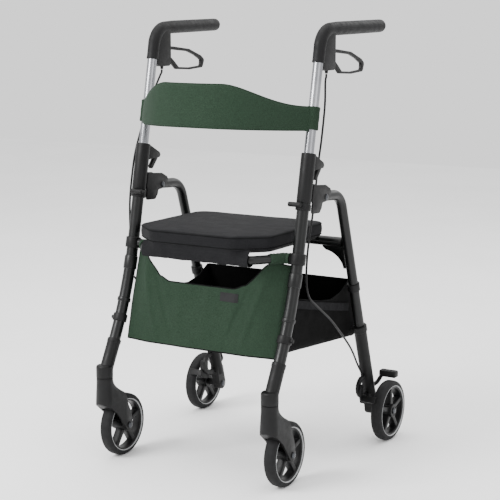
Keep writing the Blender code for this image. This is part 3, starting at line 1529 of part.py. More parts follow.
def brake_cable(name, side, route, plastic):
    """One cable from the lever's ferrule, down beside the post, to the stop on the rear foot."""
    start = Vector((side * LEG_X, FERRULE_Y, HOUSING_BOTTOM_Z + FERRULE_SINK - FERRULE_LENGTH - CABLE_GAP))
    end = Vector((side * LEG_X, STOP_Y, STOP_Z + 0.0052 + CABLE_GAP))
    straight = 2 * CABLE_RADIUS * UP
    middle = [Vector((side * x, y, z)) for x, y, z in route + CABLE_FOOT]
    points = [start, start - straight] + middle + [end + straight, end]
    line = smooth_route(points, CABLE_POINTS)
    curve = bpy.data.curves.new(name, "CURVE")
    curve.dimensions = "3D"
    curve.bevel_depth = CABLE_RADIUS
    curve.bevel_resolution = 2
    curve.use_fill_caps = True
    spline = curve.splines.new("POLY")
    spline.points.add(len(line) - 1)
    for knot, point in zip(spline.points, line):
        knot.co = (*point, 1.0)
    curve.materials.append(plastic)
    obj = bpy.data.objects.new(name, curve)
    bpy.context.scene.collection.objects.link(obj)
    return obj


def build():
    clear_scene()
    steel = material("black powder coat", 34, 35, 36, 0.45, 0.2)
    aluminium = material("brushed aluminium", 190, 188, 186, 0.32, 1.0)
    bright = material("zinc plated steel", 150, 150, 152, 0.35, 1.0)
    plastic = material("black plastic", 24, 24, 25, 0.5)
    rubber = material("grip rubber", 26, 26, 27, 0.7)
    tread = material("tyre rubber", 40, 40, 41, 0.85)
    cover = material("black seat fabric", 56, 56, 58, 0.9)
    green = material("green melange fabric", 52, 72, 58, 0.92)
    lining = material("black bag fabric", 22, 23, 24, 0.9)
    webbing = material("black webbing", 32, 32, 33, 0.85)

    for word, side in (("left", -1.0), ("right", 1.0)):
        front_leg(f"{word}_front_leg", side, steel)
        post_sleeve(f"{word}_post_sleeve", side, plastic)
        height_latch(f"{word}_height_latch", side, plastic)
        handle_tube(f"{word}_handle_tube", side, aluminium)
        grip(f"{word}_grip", side, rubber)
        brake_housing(f"{word}_brake_housing", side, plastic)
        brake_lever(f"{word}_brake_lever", side, plastic)
        caster_socket(f"{word}_caster_socket", side, plastic)
        fork(f"{word}_fork", side, plastic)
        caster_stem(f"{word}_caster_stem", side, bright)
        front_axle(f"{word}_front_axle", side, bright)
        front = wheel_centre(side, True)
        rear = wheel_centre(side, False)
        tyre(f"{word}_front_tyre", front, tread)
        rim(f"{word}_front_rim", front, plastic)
        tyre(f"{word}_rear_tyre", rear, tread)
        rim(f"{word}_rear_rim", rear, plastic)
        rear_leg(f"{word}_rear_leg", side, steel)
        leg_end(f"{word}_leg_end", side, plastic)
        brake_arm(f"{word}_brake_arm", side, bright)
        route = LEFT_ROUTE if word == "left" else RIGHT_ROUTE
        brake_cable(f"{word}_brake_cable", side, route, plastic)

        crossbar_collar(f"{word}_crossbar_collar", side, plastic)
        hanger_peg(f"{word}_hanger_peg", side, plastic)
        front_strap_clamp(f"{word}_front_strap_clamp", side, plastic)
        rear_strap_clamp(f"{word}_rear_strap_clamp", side, plastic)
        frame_pivot_pin(f"{word}_frame_pivot_pin", side, bright)
        rear_axle(f"{word}_rear_axle", side, bright)
        bag_side_strap(f"{word}_bag_side_strap", side, webbing)

    front_crossbar("front_crossbar", steel)
    rear_crossbar("rear_crossbar", steel)
    backrest("backrest", green)
    seat_board("seat_board", plastic)
    seat_cushion("seat_cushion", cover)
    seat_flap("seat_flap", cover)
    bag_front_panel("bag_front_panel", green)
    bag_body("bag_body", lining)


if __name__ == "__main__":
    build()
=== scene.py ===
"""Looks of a four-wheeled walking frame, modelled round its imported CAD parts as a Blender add-on.

Metres, +Z up, rolls towards -Y. Every new piece is modelled at the place of the CAD node that it
stands for. Left and right are as seen from the front.
"""

import json
import math

import bpy
from mathutils import Matrix, Vector, noise


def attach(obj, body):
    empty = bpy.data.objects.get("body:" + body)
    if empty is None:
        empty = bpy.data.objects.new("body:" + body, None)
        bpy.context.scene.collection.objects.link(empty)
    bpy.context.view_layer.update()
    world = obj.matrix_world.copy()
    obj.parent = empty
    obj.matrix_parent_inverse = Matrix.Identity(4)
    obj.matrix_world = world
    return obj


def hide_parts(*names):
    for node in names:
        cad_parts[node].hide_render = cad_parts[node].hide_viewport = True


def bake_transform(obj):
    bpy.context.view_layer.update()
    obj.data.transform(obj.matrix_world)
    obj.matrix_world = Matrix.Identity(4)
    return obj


bl_info = {
    "name": "Rollator",
    "version": (1, 0, 0),
    "blender": (4, 5, 0),
    "location": "View3D > Sidebar > Rollator",
    "description": "Models a folding four-wheeled walking frame with a seat and a bag",
    "category": "Add Mesh",
}

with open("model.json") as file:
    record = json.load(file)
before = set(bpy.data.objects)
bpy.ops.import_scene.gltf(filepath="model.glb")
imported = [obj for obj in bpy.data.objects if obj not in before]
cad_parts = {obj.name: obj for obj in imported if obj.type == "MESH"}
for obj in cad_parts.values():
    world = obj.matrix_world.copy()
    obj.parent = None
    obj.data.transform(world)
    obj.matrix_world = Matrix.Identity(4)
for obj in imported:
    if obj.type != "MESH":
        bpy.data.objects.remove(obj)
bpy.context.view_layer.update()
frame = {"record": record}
RECORD = frame["record"]
BODY_OF = {node: body for body, nodes in RECORD["behaviour"]["bodies"].items() for node in nodes}

SIDES = (("left", -1.0), ("right", 1.0))
ACROSS = Vector((1.0, 0.0, 0.0))
BACK = Vector((0.0, 1.0, 0.0))
UP = Vector((0.0, 0.0, 1.0))

# Post and front leg: a straight post that bends back into the leg's foot
LEG_X = 0.2262
POST_LEAN = math.radians(11.5)
SLEEVE_TOP_Z = 0.7455
SLEEVE_TOP_Y = -0.1048
LEG_BEND_Z = 0.535
LEG_BEND_RADIUS = 0.95
FOOT_LEAN = math.radians(28.0)
BEND_DROP = LEG_BEND_RADIUS * (math.sin(FOOT_LEAN) - math.sin(POST_LEAN))
BEND_END_Z = LEG_BEND_Z - BEND_DROP
POST_AXIS = Vector((0.0, math.sin(POST_LEAN), math.cos(POST_LEAN)))

# Rear frame, hinged under the sleeves
FOLD_Y = -0.0500
FOLD_Z = 0.6420
REAR_LEAN = 0.330
REAR_AXIS = Vector((0.0, -REAR_LEAN, 1.0)).normalized()
REAR_BAR_Z = 0.5157
REAR_BAR_RADIUS = 0.0115

# Front crossbar
BAR_Z = 0.5120
BAR_BOW = 0.0680
BAR_MIDDLE_HALF = 0.1440

# Wheels and casters
STEM_Y = -0.2750
FRONT_AXLE_Y = -0.2080
REAR_AXLE_Y = 0.2290
REAR_WHEEL_X = 0.2740
WHEEL_Z = 0.0750

# Seat
SEAT_HALF = 0.1800
CUSHION_LOW_Z = 0.5338
CUSHION_EDGE_Z = 0.5660

# Bag
BAG_HALF = 0.2075
BAG_BOTTOM_Z = 0.2910
BAG_TOP_Z = 0.4950


# Small numbers of the drawing


def post_y(height):
    """How far back the post stands at a height."""
    return SLEEVE_TOP_Y + (height - SLEEVE_TOP_Z) * math.tan(POST_LEAN)


def post_point(side, height):
    """Point on the post's axis at a height."""
    return Vector((side * LEG_X, post_y(height), height))


def leg_lean(height):
    """Lean of the front leg at a height, as an angle."""
    if height >= LEG_BEND_Z:
        return POST_LEAN
    if height <= BEND_END_Z:
        return FOOT_LEAN
    return math.asin(math.sin(POST_LEAN) + (LEG_BEND_Z - height) / LEG_BEND_RADIUS)


def leg_y(height):
    """How far back the front leg stands at a height, bend included."""
    if height >= LEG_BEND_Z:
        return post_y(height)
    bent = post_y(LEG_BEND_Z) - LEG_BEND_RADIUS * (math.cos(POST_LEAN) - math.cos(leg_lean(height)))
    if height >= BEND_END_Z:
        return bent
    return bent - (BEND_END_Z - height) * math.tan(FOOT_LEAN)


def leg_point(side, height):
    """Point on the front leg's axis at a height."""
    return Vector((side * LEG_X, leg_y(height), height))


def leg_axis(height):
    """Direction of the front leg at a height, upwards."""
    lean = leg_lean(height)
    return Vector((0.0, math.sin(lean), math.cos(lean)))


def rear_y(height):
    """How far back the rear leg stands at a height."""
    return 0.0942 + (0.4965 - height) * REAR_LEAN


def rear_point(side, height):
    """Point on the rear leg's axis at a height."""
    return Vector((side * LEG_X, rear_y(height), height))


def arch_z(depth):
    return FOLD_Z - (depth - FOLD_Y) * 0.060


def arc(centre, radius, start, end, steps):
    """Points on a circle between two angles in degrees."""
    angles = [math.radians(start + (end - start) * k / steps) for k in range(steps + 1)]
    return [(centre[0] + radius * math.cos(a), centre[1] + radius * math.sin(a)) for a in angles]


def rounded_path(corners, radii, steps=10):
    """Straight runs between the corners, with an arc of its radius at each inner corner."""
    points = [corners[0]]
    for before, corner, after, radius in zip(corners, corners[1:], corners[2:], radii):
        into = (before - corner).normalized()
        out = (after - corner).normalized()
        half = into.angle(out) / 2.0
        reach = radius / math.tan(half)
        centre = corner + (into + out).normalized() * (radius / math.sin(half))
        start = corner + into * reach - centre
        end = corner + out * reach - centre
        turn = start.angle(end)
        for k in range(steps + 1):
            share = k / steps
            points.append(
                centre + (math.sin((1 - share) * turn) * start + math.sin(share * turn) * end) / math.sin(turn)
            )
    points.append(corners[-1])
    return points


def rounded_outline(corners, radius, steps=6):
    """A closed flat outline with its corners rounded."""
    loop = [Vector((u, v)) for u, v in corners]
    points = []
    for index, corner in enumerate(loop):
        before = loop[index - 1]
        after = loop[(index + 1) % len(loop)]
        into = (before - corner).normalized()
        out = (after - corner).normalized()
        room = min((before - corner).length, (after - corner).length)
        reach = min(radius / math.tan(into.angle(out) / 2.0), 0.45 * room)
        start = corner + into * reach
        end = corner + out * reach
        for k in range(steps + 1):
            share = k / steps
            point = (1 - share) ** 2 * start + 2 * share * (1 - share) * corner + share**2 * end
            points.append((point.x, point.y))
    return points


def handle_path(side, start_z, end_y, steps=10):
    corner = post_point(side, 1.0190)
    direction = Vector((side * 0.033, 1.0, 0.018)).normalized()
    end = corner + direction * ((end_y - corner.y) / direction.y)
    return rounded_path([post_point(side, start_z), corner, end], [0.0500], steps)


def smooth_route(points, count):
    """Even points on a smooth curve through the route's own points."""
    dense = []
    padded = [2 * points[0] - points[1]] + points + [2 * points[-1] - points[-2]]
    for a, b, c, d in zip(padded, padded[1:], padded[2:], padded[3:]):
        for k in range(24):
            t = k / 24
            curve = 2 * b + (c - a) * t + (2 * a - 5 * b + 4 * c - d) * t**2
            dense.append(0.5 * (curve + (3 * b - a - 3 * c + d) * t**3))
    dense.append(points[-1])
    lengths = [0.0]
    for first, second in zip(dense, dense[1:]):
        lengths.append(lengths[-1] + (second - first).length)
    result = []
    place = 0
    for k in range(count):
        target = lengths[-1] * k / (count - 1)
        while place < len(lengths) - 2 and lengths[place + 1] < target:
            place += 1
        share = (target - lengths[place]) / (lengths[place + 1] - lengths[place])
        result.append(dense[place].lerp(dense[place + 1], share))
    return result


def smooth_step(share):
    """From 0 to 1 with a level start and end."""
    share = min(max(share, 0.0), 1.0)
    return share * share * (3.0 - 2.0 * share)


def rough(point, size, seed):
    """Smooth noise from -1 to 1 whose bumps are about size metres wide."""
    return noise.noise(Vector(point) / size + Vector((seed, 1.7 * seed, 0.3 * seed)))


# Modelling, by Blender's own operators


def nothing_selected():
    """Goes back to object mode and deselects everything."""
    if bpy.context.mode != "OBJECT":
        bpy.ops.object.mode_set(mode="OBJECT")
    bpy.ops.object.select_all(action="DESELECT")


def take(*pieces):
    """Selects these pieces and nothing else, with the first one active."""
    nothing_selected()
    for piece in pieces:
        piece.select_set(True)
    bpy.context.view_layer.objects.active = pieces[0]
    return pieces[0]


def drawn_loop(name, points, filled):
    """A closed loop of edges through the points, or one flat face."""
    nothing_selected()
    fill = "NGON" if filled else "NOTHING"
    bpy.ops.mesh.primitive_circle_add(vertices=len(points), radius=1.0, fill_type=fill)
    loop = bpy.context.object
    loop.name = name
    loop.data.name = name
    for vertex, point in zip(loop.data.vertices, points):
        vertex.co = point
    return loop


def facing_out(piece):
    """Merges what meets, drops loose edges and turns every face outwards."""
    take(piece)
    bpy.ops.object.mode_set(mode="EDIT")
    bpy.ops.mesh.select_all(action="SELECT")
    bpy.ops.mesh.remove_doubles(threshold=1e-6)
    bpy.ops.mesh.delete_loose(use_verts=True, use_edges=True, use_faces=False)
    bpy.ops.mesh.select_all(action="SELECT")
    bpy.ops.mesh.normals_make_consistent(inside=False)
    bpy.ops.object.mode_set(mode="OBJECT")
    return piece


def settled(piece, matrix):
    """Puts the piece at its place and applies it, so that its object stays at the origin."""
    piece.matrix_world = matrix
    take(piece)
    bpy.ops.object.transform_apply(location=True, rotation=True, scale=True)
    return piece


def turned(name, centre, axis, profile, steps=40):
    """A turned piece. profile is a closed loop of (distance along the axis, radius) pairs."""
    loop = drawn_loop(name, [(radius, 0.0, along) for along, radius in profile], False)
    take(loop)
    bpy.ops.object.mode_set(mode="EDIT")
    bpy.ops.mesh.select_all(action="SELECT")
    bpy.ops.mesh.spin(
        steps=steps, angle=2 * math.pi, center=(0.0, 0.0, 0.0), axis=(0.0, 0.0, 1.0), use_auto_merge=True
    )
    bpy.ops.object.mode_set(mode="OBJECT")
    facing_out(loop)
    turn = UP.rotation_difference(Vector(axis)).to_matrix().to_4x4()
    return settled(loop, Matrix.Translation(centre) @ turn)


def soft_edged(low, high, inner, outer, edge):
    """Profile of a ring or disc whose outer edges are rounded by edge."""
    profile = [(low, inner), (low, outer - edge)]
    profile += [(low + edge - edge * math.cos(a), outer - edge + edge * math.sin(a)) for a in (0.52, 1.05)]
    profile += [(low + edge, outer), (high - edge, outer)]
    profile += [(high - edge + edge * math.sin(a), outer - edge + edge * math.cos(a)) for a in (0.52, 1.05)]
    profile += [(high, outer - edge), (high, inner)]
    return profile


def ring(name, centre, axis, half, outer, inner, edge=0.0012, steps=40):
    """A short tube round an axis, with softened edges."""
    return turned(name, centre, axis, soft_edged(-half, half, inner, outer, edge), steps)


def rod(name, start, end, radius, edge=0.0006, steps=28):
    """A round bar between two points, with softened ends."""
    return turned(name, start, end - start, soft_edged(0.0, (end - start).length, 0.0, radius, edge), steps)


def plate(name, outline, low, high, place):
    """A flat outline (u, v) drawn out from w = low to w = high. place(u, v, w) gives the point."""
    face = drawn_loop(name, [place(u, v, low) for u, v in outline], True)
    take(face)
    u, v = outline[0]
    through = place(u, v, high) - place(u, v, low)
    bpy.ops.object.mode_set(mode="EDIT")
    bpy.ops.mesh.select_all(action="SELECT")
    bpy.ops.mesh.extrude_region_move(TRANSFORM_OT_translate={"value": through})
    bpy.ops.object.mode_set(mode="OBJECT")
    return facing_out(face)


def side_plate(name, outline, low, high):
    return plate(name, outline, low, high, lambda u, v, w: Vector((w, u, v)))


def level_plate(name, outline, low, high):
    return plate(name, outline, low, high, lambda u, v, w: Vector((u, v, w)))


def block(name, low, high):
    outline = [(low[0], low[1]), (high[0], low[1]), (high[0], high[1]), (low[0], high[1])]
    return level_plate(name, outline, low[2], high[2])


def modified(piece, kind, **settings):
    """Gives the piece a modifier with these settings and applies it."""
    take(piece)
    modifier = piece.modifiers.new(kind.title(), kind)
    for key, value in settings.items():
        setattr(modifier, key, value)
    bpy.ops.object.modifier_apply(modifier=modifier.name)
    return piece


def bevelled(piece, width, segments=2, angle=38.0):
    return modified(
        piece, "BEVEL", width=width, segments=segments, limit_method="ANGLE", angle_limit=math.radians(angle)
    )


def carved(piece, *cutters):
    """Cuts the cutters out of the piece."""
    for cutter in cutters:
        modified(piece, "BOOLEAN", operation="DIFFERENCE", solver="EXACT", object=cutter)
        bpy.data.objects.remove(cutter)
    return piece


def welded(piece, *others):
    """Makes one closed body of the piece and the others."""
    for other in others:
        modified(piece, "BOOLEAN", operation="UNION", solver="EXACT", object=other)
        bpy.data.objects.remove(other)
    return piece


def within(piece, other):
    modified(piece, "BOOLEAN", operation="INTERSECT", solver="EXACT", object=other)
    bpy.data.objects.remove(other)
    return piece


def joined(piece, *others):
    """One object of several, each part with its own material."""
    take(piece, *others)
    bpy.ops.object.join()
    return piece


def tube(name, path, radius, radii=None, sides=32, closed=False):
    """A round tube along the path. radii has one value for each point."""
    data = bpy.data.curves.new(name, "CURVE")
    data.dimensions = "3D"
    data.bevel_depth = radius
    data.bevel_resolution = (sides - 4) // 2
    data.use_fill_caps = True
    spline = data.splines.new("POLY")
    spline.points.add(len(path) - 1)
    spline.use_cyclic_u = closed
    for index, (knot, point) in enumerate(zip(spline.points, path)):
        knot.co = (*point, 1.0)
        knot.radius = radii[index] / radius if radii else 1.0
    piece = bpy.data.objects.new(name, data)
    bpy.context.scene.collection.objects.link(piece)
    take(piece)
    bpy.ops.object.convert(target="MESH")
    return facing_out(bpy.context.object)


def sheet_of(name, rows, closed_rows=False, closed_columns=False):
    """A grid laid through the rows of points, with a UV map in metres along and across it."""
    height = len(rows)
    width = len(rows[0])
    nothing_selected()
    across = width + (1 if closed_columns else 0)
    along = height + (1 if closed_rows else 0)
    bpy.ops.mesh.primitive_grid_add(x_subdivisions=across - 1, y_subdivisions=along - 1, size=1.0)
    grid = bpy.context.object
    grid.name = name
    grid.data.name = name
    points = [[Vector(rows[r % height][c % width]) for c in range(across)] for r in range(along)]
    us = [[0.0] * across for _ in range(along)]
    vs = [[0.0] * across for _ in range(along)]
    for r in range(along):
        for c in range(1, across):
            us[r][c] = us[r][c - 1] + (points[r][c] - points[r][c - 1]).length
    for c in range(across):
        for r in range(1, along):
            vs[r][c] = vs[r - 1][c] + (points[r][c] - points[r - 1][c]).length
    for r in range(along):
        for c in range(across):
            grid.data.vertices[r * across + c].co = points[r][c]
    layer = grid.data.uv_layers.active
    for index, entry in enumerate(grid.data.loops):
        r, c = divmod(entry.vertex_index, across)
        layer.data[index].uv = (us[r][c], vs[r][c])
    if closed_rows or closed_columns:
        facing_out(grid)
    return grid


def capped(piece):
    """Closes the open ends of a piece with one face each."""
    take(piece)
    bpy.ops.object.mode_set(mode="EDIT")
    bpy.ops.mesh.select_all(action="DESELECT")
    bpy.ops.mesh.select_non_manifold()
    bpy.ops.mesh.edge_face_add()
    bpy.ops.object.mode_set(mode="OBJECT")
    return facing_out(piece)


# Materials


def linear(colour):
    """The linear value of an sRGB hex colour."""
    values = [int(colour[k : k + 2], 16) / 255 for k in (1, 3, 5)]
    return tuple(v / 12.92 if v <= 0.04045 else ((v + 0.055) / 1.055) ** 2.4 for v in values)


def add(tree, kind, settings=None, inputs=None):
    """Adds a node, sets its own values, and sets or links its sockets."""
    made = tree.nodes.new(kind)
    for key, value in (settings or {}).items():
        setattr(made, key, value)
    for key, value in (inputs or {}).items():
        socket = made.inputs[key]
        if isinstance(value, bpy.types.NodeSocket):
            tree.links.new(value, socket)
        elif isinstance(value, str):
            socket.default_value = (*linear(value), 1.0)
        else:
            socket.default_value = value
    return made


def started(name, **values):
    """A new material, its node tree and its shader, with these constant values on the shader."""
    surface = bpy.data.materials.new(name)
    surface.use_nodes = True
    tree = surface.node_tree
    shader = tree.nodes["Principled BSDF"]
    for key, value in values.items():
        shader.inputs[key.replace("_", " ")].default_value = value
    return surface, tree, shader


def mottled(tree, coordinates, size, dark, light, detail=3.0):
    """A colour that wanders between two over patches of this size in metres."""
    pattern = add(tree, "ShaderNodeTexNoise", None, {"Vector": coordinates, "Scale": 1.0 / size, "Detail": detail})
    ramp = add(tree, "ShaderNodeMapRange", None, {0: pattern.outputs["Fac"], 1: 0.3, 2: 0.7, 3: 0.0, 4: 1.0})
    mixed = add(
        tree,
        "ShaderNodeMix",
        {"data_type": "RGBA"},
        {"Factor": ramp.outputs[0], 6: (*linear(dark), 1.0), 7: (*linear(light), 1.0)},
    )
    return mixed.outputs[2]


def bumped(tree, shader, height, distance, strength, below=None):
    """Adds fine relief to a surface."""
    inputs = {"Height": height, "Distance": distance, "Strength": strength}
    if below:
        inputs["Normal"] = below
    made = add(tree, "ShaderNodeBump", None, inputs)
    tree.links.new(made.outputs[0], shader.inputs["Normal"])
    return made.outputs[0]


def wandering(tree, shader, coordinates, size, low, high):
    """Roughness that varies over patches of this size."""
    pattern = add(tree, "ShaderNodeTexNoise", None, {"Vector": coordinates, "Scale": 1.0 / size, "Detail": 4.0})
    spread = add(tree, "ShaderNodeMapRange", None, {0: pattern.outputs["Fac"], 1: 0.3, 2: 0.7, 3: low, 4: high})
    tree.links.new(spread.outputs[0], shader.inputs["Roughness"])


def powder_coated_steel():
    """Polyester powder baked on steel tube: a satin black with a fine orange peel."""
    surface, tree, shader = started("satin black powder coat", Metallic=0.0, IOR=1.5, Specular_IOR_Level=0.30)
    where = add(tree, "ShaderNodeTexCoord").outputs["Object"]
    tree.links.new(mottled(tree, where, 0.060, LOOKS.steel_dark, LOOKS.steel_light), shader.inputs["Base Color"])
    wandering(tree, shader, where, 0.020, 0.30, 0.42)
    # The peel's bumps are about 1.2 mm wide
    peel = add(tree, "ShaderNodeTexNoise", None, {"Vector": where, "Scale": 800.0, "Detail": 1.0})
    bumped(tree, shader, peel.outputs["Fac"], 0.0002, 0.25)
    return surface


def drawn_aluminium():
    """Drawn tube, clear anodised: bright, with fine lines along the tube and softly blurred reflections."""
    surface, tree, shader = started("satin anodised aluminium", Metallic=1.0)
    where = add(tree, "ShaderNodeTexCoord").outputs["Object"]
    cloudy = mottled(tree, where, 0.080, LOOKS.aluminium_dark, LOOKS.aluminium_light)
    tree.links.new(cloudy, shader.inputs["Base Color"])
    # Drawing lines: 0.5 mm apart round the tube and long in its direction
    upright = {"Vector": where, "Rotation": (POST_LEAN, 0.0, 0.0), "Scale": (2000.0, 2000.0, 30.0)}
    turned_back = add(tree, "ShaderNodeMapping", None, upright)
    lines = add(tree, "ShaderNodeTexNoise", None, {"Vector": turned_back.outputs[0], "Scale": 1.0, "Detail": 2.0})
    spread = add(tree, "ShaderNodeMapRange", None, {0: lines.outputs["Fac"], 1: 0.3, 2: 0.7, 3: 0.20, 4: 0.34})
    tree.links.new(spread.outputs[0], shader.inputs["Roughness"])
    bumped(tree, shader, lines.outputs["Fac"], 0.00003, 0.3)
    return surface


def zinc_plated_steel():
    """Turned steel, zinc plated and blue passivated: grey, semi bright, with faint cloudy patches."""
    surface, tree, shader = started("zinc plated steel", Metallic=1.0)
    where = add(tree, "ShaderNodeTexCoord").outputs["Object"]
    tree.links.new(mottled(tree, where, 0.004, "#3c3d40", "#56585b"), shader.inputs["Base Color"])
    wandering(tree, shader, where, 0.002, 0.26, 0.42)
    return surface


def moulded(name, dark, light, grain, low, high, strength=0.35):
    """Injection moulded plastic from a spark-eroded mould: an even fine grain and a soft sheen."""
    surface, tree, shader = started(name, Metallic=0.0, IOR=1.49, Specular_IOR_Level=0.22)
    where = add(tree, "ShaderNodeTexCoord").outputs["Object"]
    tree.links.new(mottled(tree, where, 0.030, dark, light), shader.inputs["Base Color"])
    wandering(tree, shader, where, 0.012, low, high)
    grains = add(tree, "ShaderNodeTexVoronoi", {"feature": "SMOOTH_F1"}, {"Vector": where, "Scale": 1.0 / grain})
    bumped(tree, shader, grains.outputs["Distance"], grain * 0.2, strength)
    return surface


def tread_rubber():
    """Moulded rubber tyre: dull dark grey, a little dusty where it rolls."""
    surface, tree, shader = started("dull tyre rubber", Metallic=0.0, IOR=1.5, Specular_IOR_Level=0.2)
    where = add(tree, "ShaderNodeTexCoord").outputs["Object"]
    tree.links.new(mottled(tree, where, 0.012, LOOKS.tyre_dark, LOOKS.tyre_light, 6.0), shader.inputs["Base Color"])
    wandering(tree, shader, where, 0.006, 0.62, 0.82)
    scuffs = add(tree, "ShaderNodeTexNoise", None, {"Vector": where, "Scale": 900.0, "Detail": 4.0})
    bumped(tree, shader, scuffs.outputs["Fac"], 0.0003, 0.4)
    return surface


def woven(name, dark, light, pitch, speckle, sheen=0.15, flat=True, rough_low=0.82, rough_high=0.95):
    """Plain weave polyester of melange yarn: matt, specked, with a fine over-and-under relief."""
    surface, tree, shader = started(
        name, Metallic=0.0, IOR=1.5, Specular_IOR_Level=0.08, Sheen_Weight=sheen, Sheen_Roughness=0.5
    )
    coordinates = add(tree, "ShaderNodeTexCoord")
    where = coordinates.outputs["Object"]
    run = coordinates.outputs["UV"] if flat else where
    # Yarns 0.5 mm apart would vanish in the render, so they are drawn at the wider pitch
    warp = add(
        tree,
        "ShaderNodeTexWave",
        {"wave_type": "BANDS", "bands_direction": "X"},
        {"Vector": run, "Scale": 0.314159 / pitch, "Distortion": 0.6, "Detail": 1.0, "Detail Scale": 2.0},
    )
    weft = add(
        tree,
        "ShaderNodeTexWave",
        {"wave_type": "BANDS", "bands_direction": "Y"},
        {"Vector": run, "Scale": 0.314159 / pitch, "Distortion": 0.6, "Detail": 1.0, "Detail Scale": 2.0},
    )
    relief = add(tree, "ShaderNodeMath", {"operation": "MAXIMUM"}, {0: warp.outputs["Fac"], 1: weft.outputs["Fac"]})
    specks = add(tree, "ShaderNodeTexNoise", None, {"Vector": where, "Scale": 1.0 / speckle, "Detail": 2.0})
    yarns = add(tree, "ShaderNodeMapRange", None, {0: specks.outputs["Fac"], 1: 0.36, 2: 0.64, 3: 0.0, 4: 0.8})
    shaded = add(
        tree, "ShaderNodeMath", {"operation": "MULTIPLY_ADD"}, {0: relief.outputs[0], 1: 0.2, 2: yarns.outputs[0]}
    )
    mixed = add(
        tree,
        "ShaderNodeMix",
        {"data_type": "RGBA"},
        {"Factor": shaded.outputs[0], 6: (*linear(dark), 1.0), 7: (*linear(light), 1.0)},
    )
    tree.links.new(mixed.outputs[2], shader.inputs["Base Color"])
    wandering(tree, shader, where, 0.030, rough_low, rough_high)
    threads = bumped(tree, shader, relief.outputs[0], 0.0004, 0.35)
    folds = add(tree, "ShaderNodeTexNoise", None, {"Vector": where, "Scale": 22.0, "Detail": 2.0})
    bumped(tree, shader, folds.outputs["Fac"], 0.004, 0.25, threads)
    return surface


def ribbed_webbing():
    """Woven polyester webbing: close ribs across the band."""
    surface, tree, shader = started("ribbed black webbing", Metallic=0.0, IOR=1.5, Specular_IOR_Level=0.1)
    coordinates = add(tree, "ShaderNodeTexCoord")
    ribs = add(
        tree,
        "ShaderNodeTexWave",
        {"wave_type": "BANDS", "bands_direction": "X"},
        {"Vector": coordinates.outputs["UV"], "Scale": 0.314159 / 0.0022, "Distortion": 0.3},
    )
    mixed = add(
        tree,
        "ShaderNodeMix",
        {"data_type": "RGBA"},
        {"Factor": ribs.outputs["Fac"], 6: (*linear("#0c0c0d"), 1.0), 7: (*linear("#18181a"), 1.0)},
    )
    tree.links.new(mixed.outputs[2], shader.inputs["Base Color"])
    wandering(tree, shader, coordinates.outputs["Object"], 0.010, 0.7, 0.85)
    bumped(tree, shader, ribs.outputs["Fac"], 0.0004, 0.6)
    return surface


class Looks:
    """The colours that the property group holds, for the materials."""


LOOKS = Looks()
FINISH = {}


def make_finishes():
    """One material for each finish of the walking frame."""
    FINISH["steel"] = powder_coated_steel()
    FINISH["aluminium"] = drawn_aluminium()
    FINISH["zinc"] = zinc_plated_steel()
    FINISH["plastic"] = moulded("grained black polyamide", "#070707", "#0d0d0e", 0.0010, 0.42, 0.56)
    FINISH["wheel"] = moulded("satin black wheel plastic", "#09090a", "#121213", 0.0012, 0.36, 0.48)
    # Painted highlight: a light grey ring where the rim's lip catches the light
    FINISH["line"] = moulded("painted highlight ring on the wheel", "#8a8b8c", "#a4a5a6", 0.0012, 0.45, 0.55)
    FINISH["cable"] = moulded("black cable sheath", "#070708", "#0e0e0f", 0.0014, 0.34, 0.44, 0.15)
    FINISH["grip"] = moulded("soft grip rubber", LOOKS.grip_dark, LOOKS.grip_light, 0.0012, 0.50, 0.64, 0.25)
    FINISH["tyre"] = tread_rubber()
    FINISH["seat"] = woven("dark grey seat weave", LOOKS.seat_dark, LOOKS.seat_light, 0.0030, 0.0012, 0.02, False)
    FINISH["green"] = woven("green melange weave", LOOKS.green_dark, LOOKS.green_light, 0.0026, 0.0013, 0.02)
    FINISH["lining"] = woven("black bag lining", "#040404", "#0a0a0a", 0.0026, 0.0018, 0.0)
    FINISH["binding"] = woven("black edge binding", "#080808", "#101111", 0.0022, 0.0016, 0.0, False)
    FINISH["patch"] = moulded("blank black label", "#0d0d0e", "#151516", 0.0014, 0.5, 0.6, 0.2)
    FINISH["webbing"] = ribbed_webbing()


def dressed(piece, finish, node, also=(), angle=40.0, body=None):
    """Gives a finished piece its material and shading, hangs it on the body of the CAD node that it stands for unless
    body is "later", and hides that node.
    """
    if finish:
        piece.data.materials.clear()
        piece.data.materials.append(FINISH[finish])
    take(piece)
    bpy.ops.object.shade_smooth_by_angle(angle=math.radians(angle))
    if body != "later":
        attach(piece, body or BODY_OF[node])
    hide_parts(node, *also)
    return piece


def coloured(piece, finish):
    """Gives a piece one finish."""
    piece.data.materials.clear()
    piece.data.materials.append(FINISH[finish])
    return piece


# The pieces


def front_leg(word, side):
    """Post and front leg in one bent tube."""
    heights = [0.7395, 0.64, LEG_BEND_Z]
    heights += [LEG_BEND_Z - BEND_DROP * k / 14 for k in range(1, 15)]
    heights.append(0.2535)
    leg = tube(f"{word}_leg_tube", [leg_point(side, h) for h in heights], 0.01385)
    upper = ring("upper ring", leg_point(side, 0.465), leg_axis(0.465), 0.0160, 0.0159, 0.0130, 0.0018)
    lower = ring("lower ring", leg_point(side, 0.379), leg_axis(0.379), 0.0050, 0.0159, 0.0130, 0.0018)
    return dressed(joined(leg, upper, lower), "steel", f"{word}_front_leg")


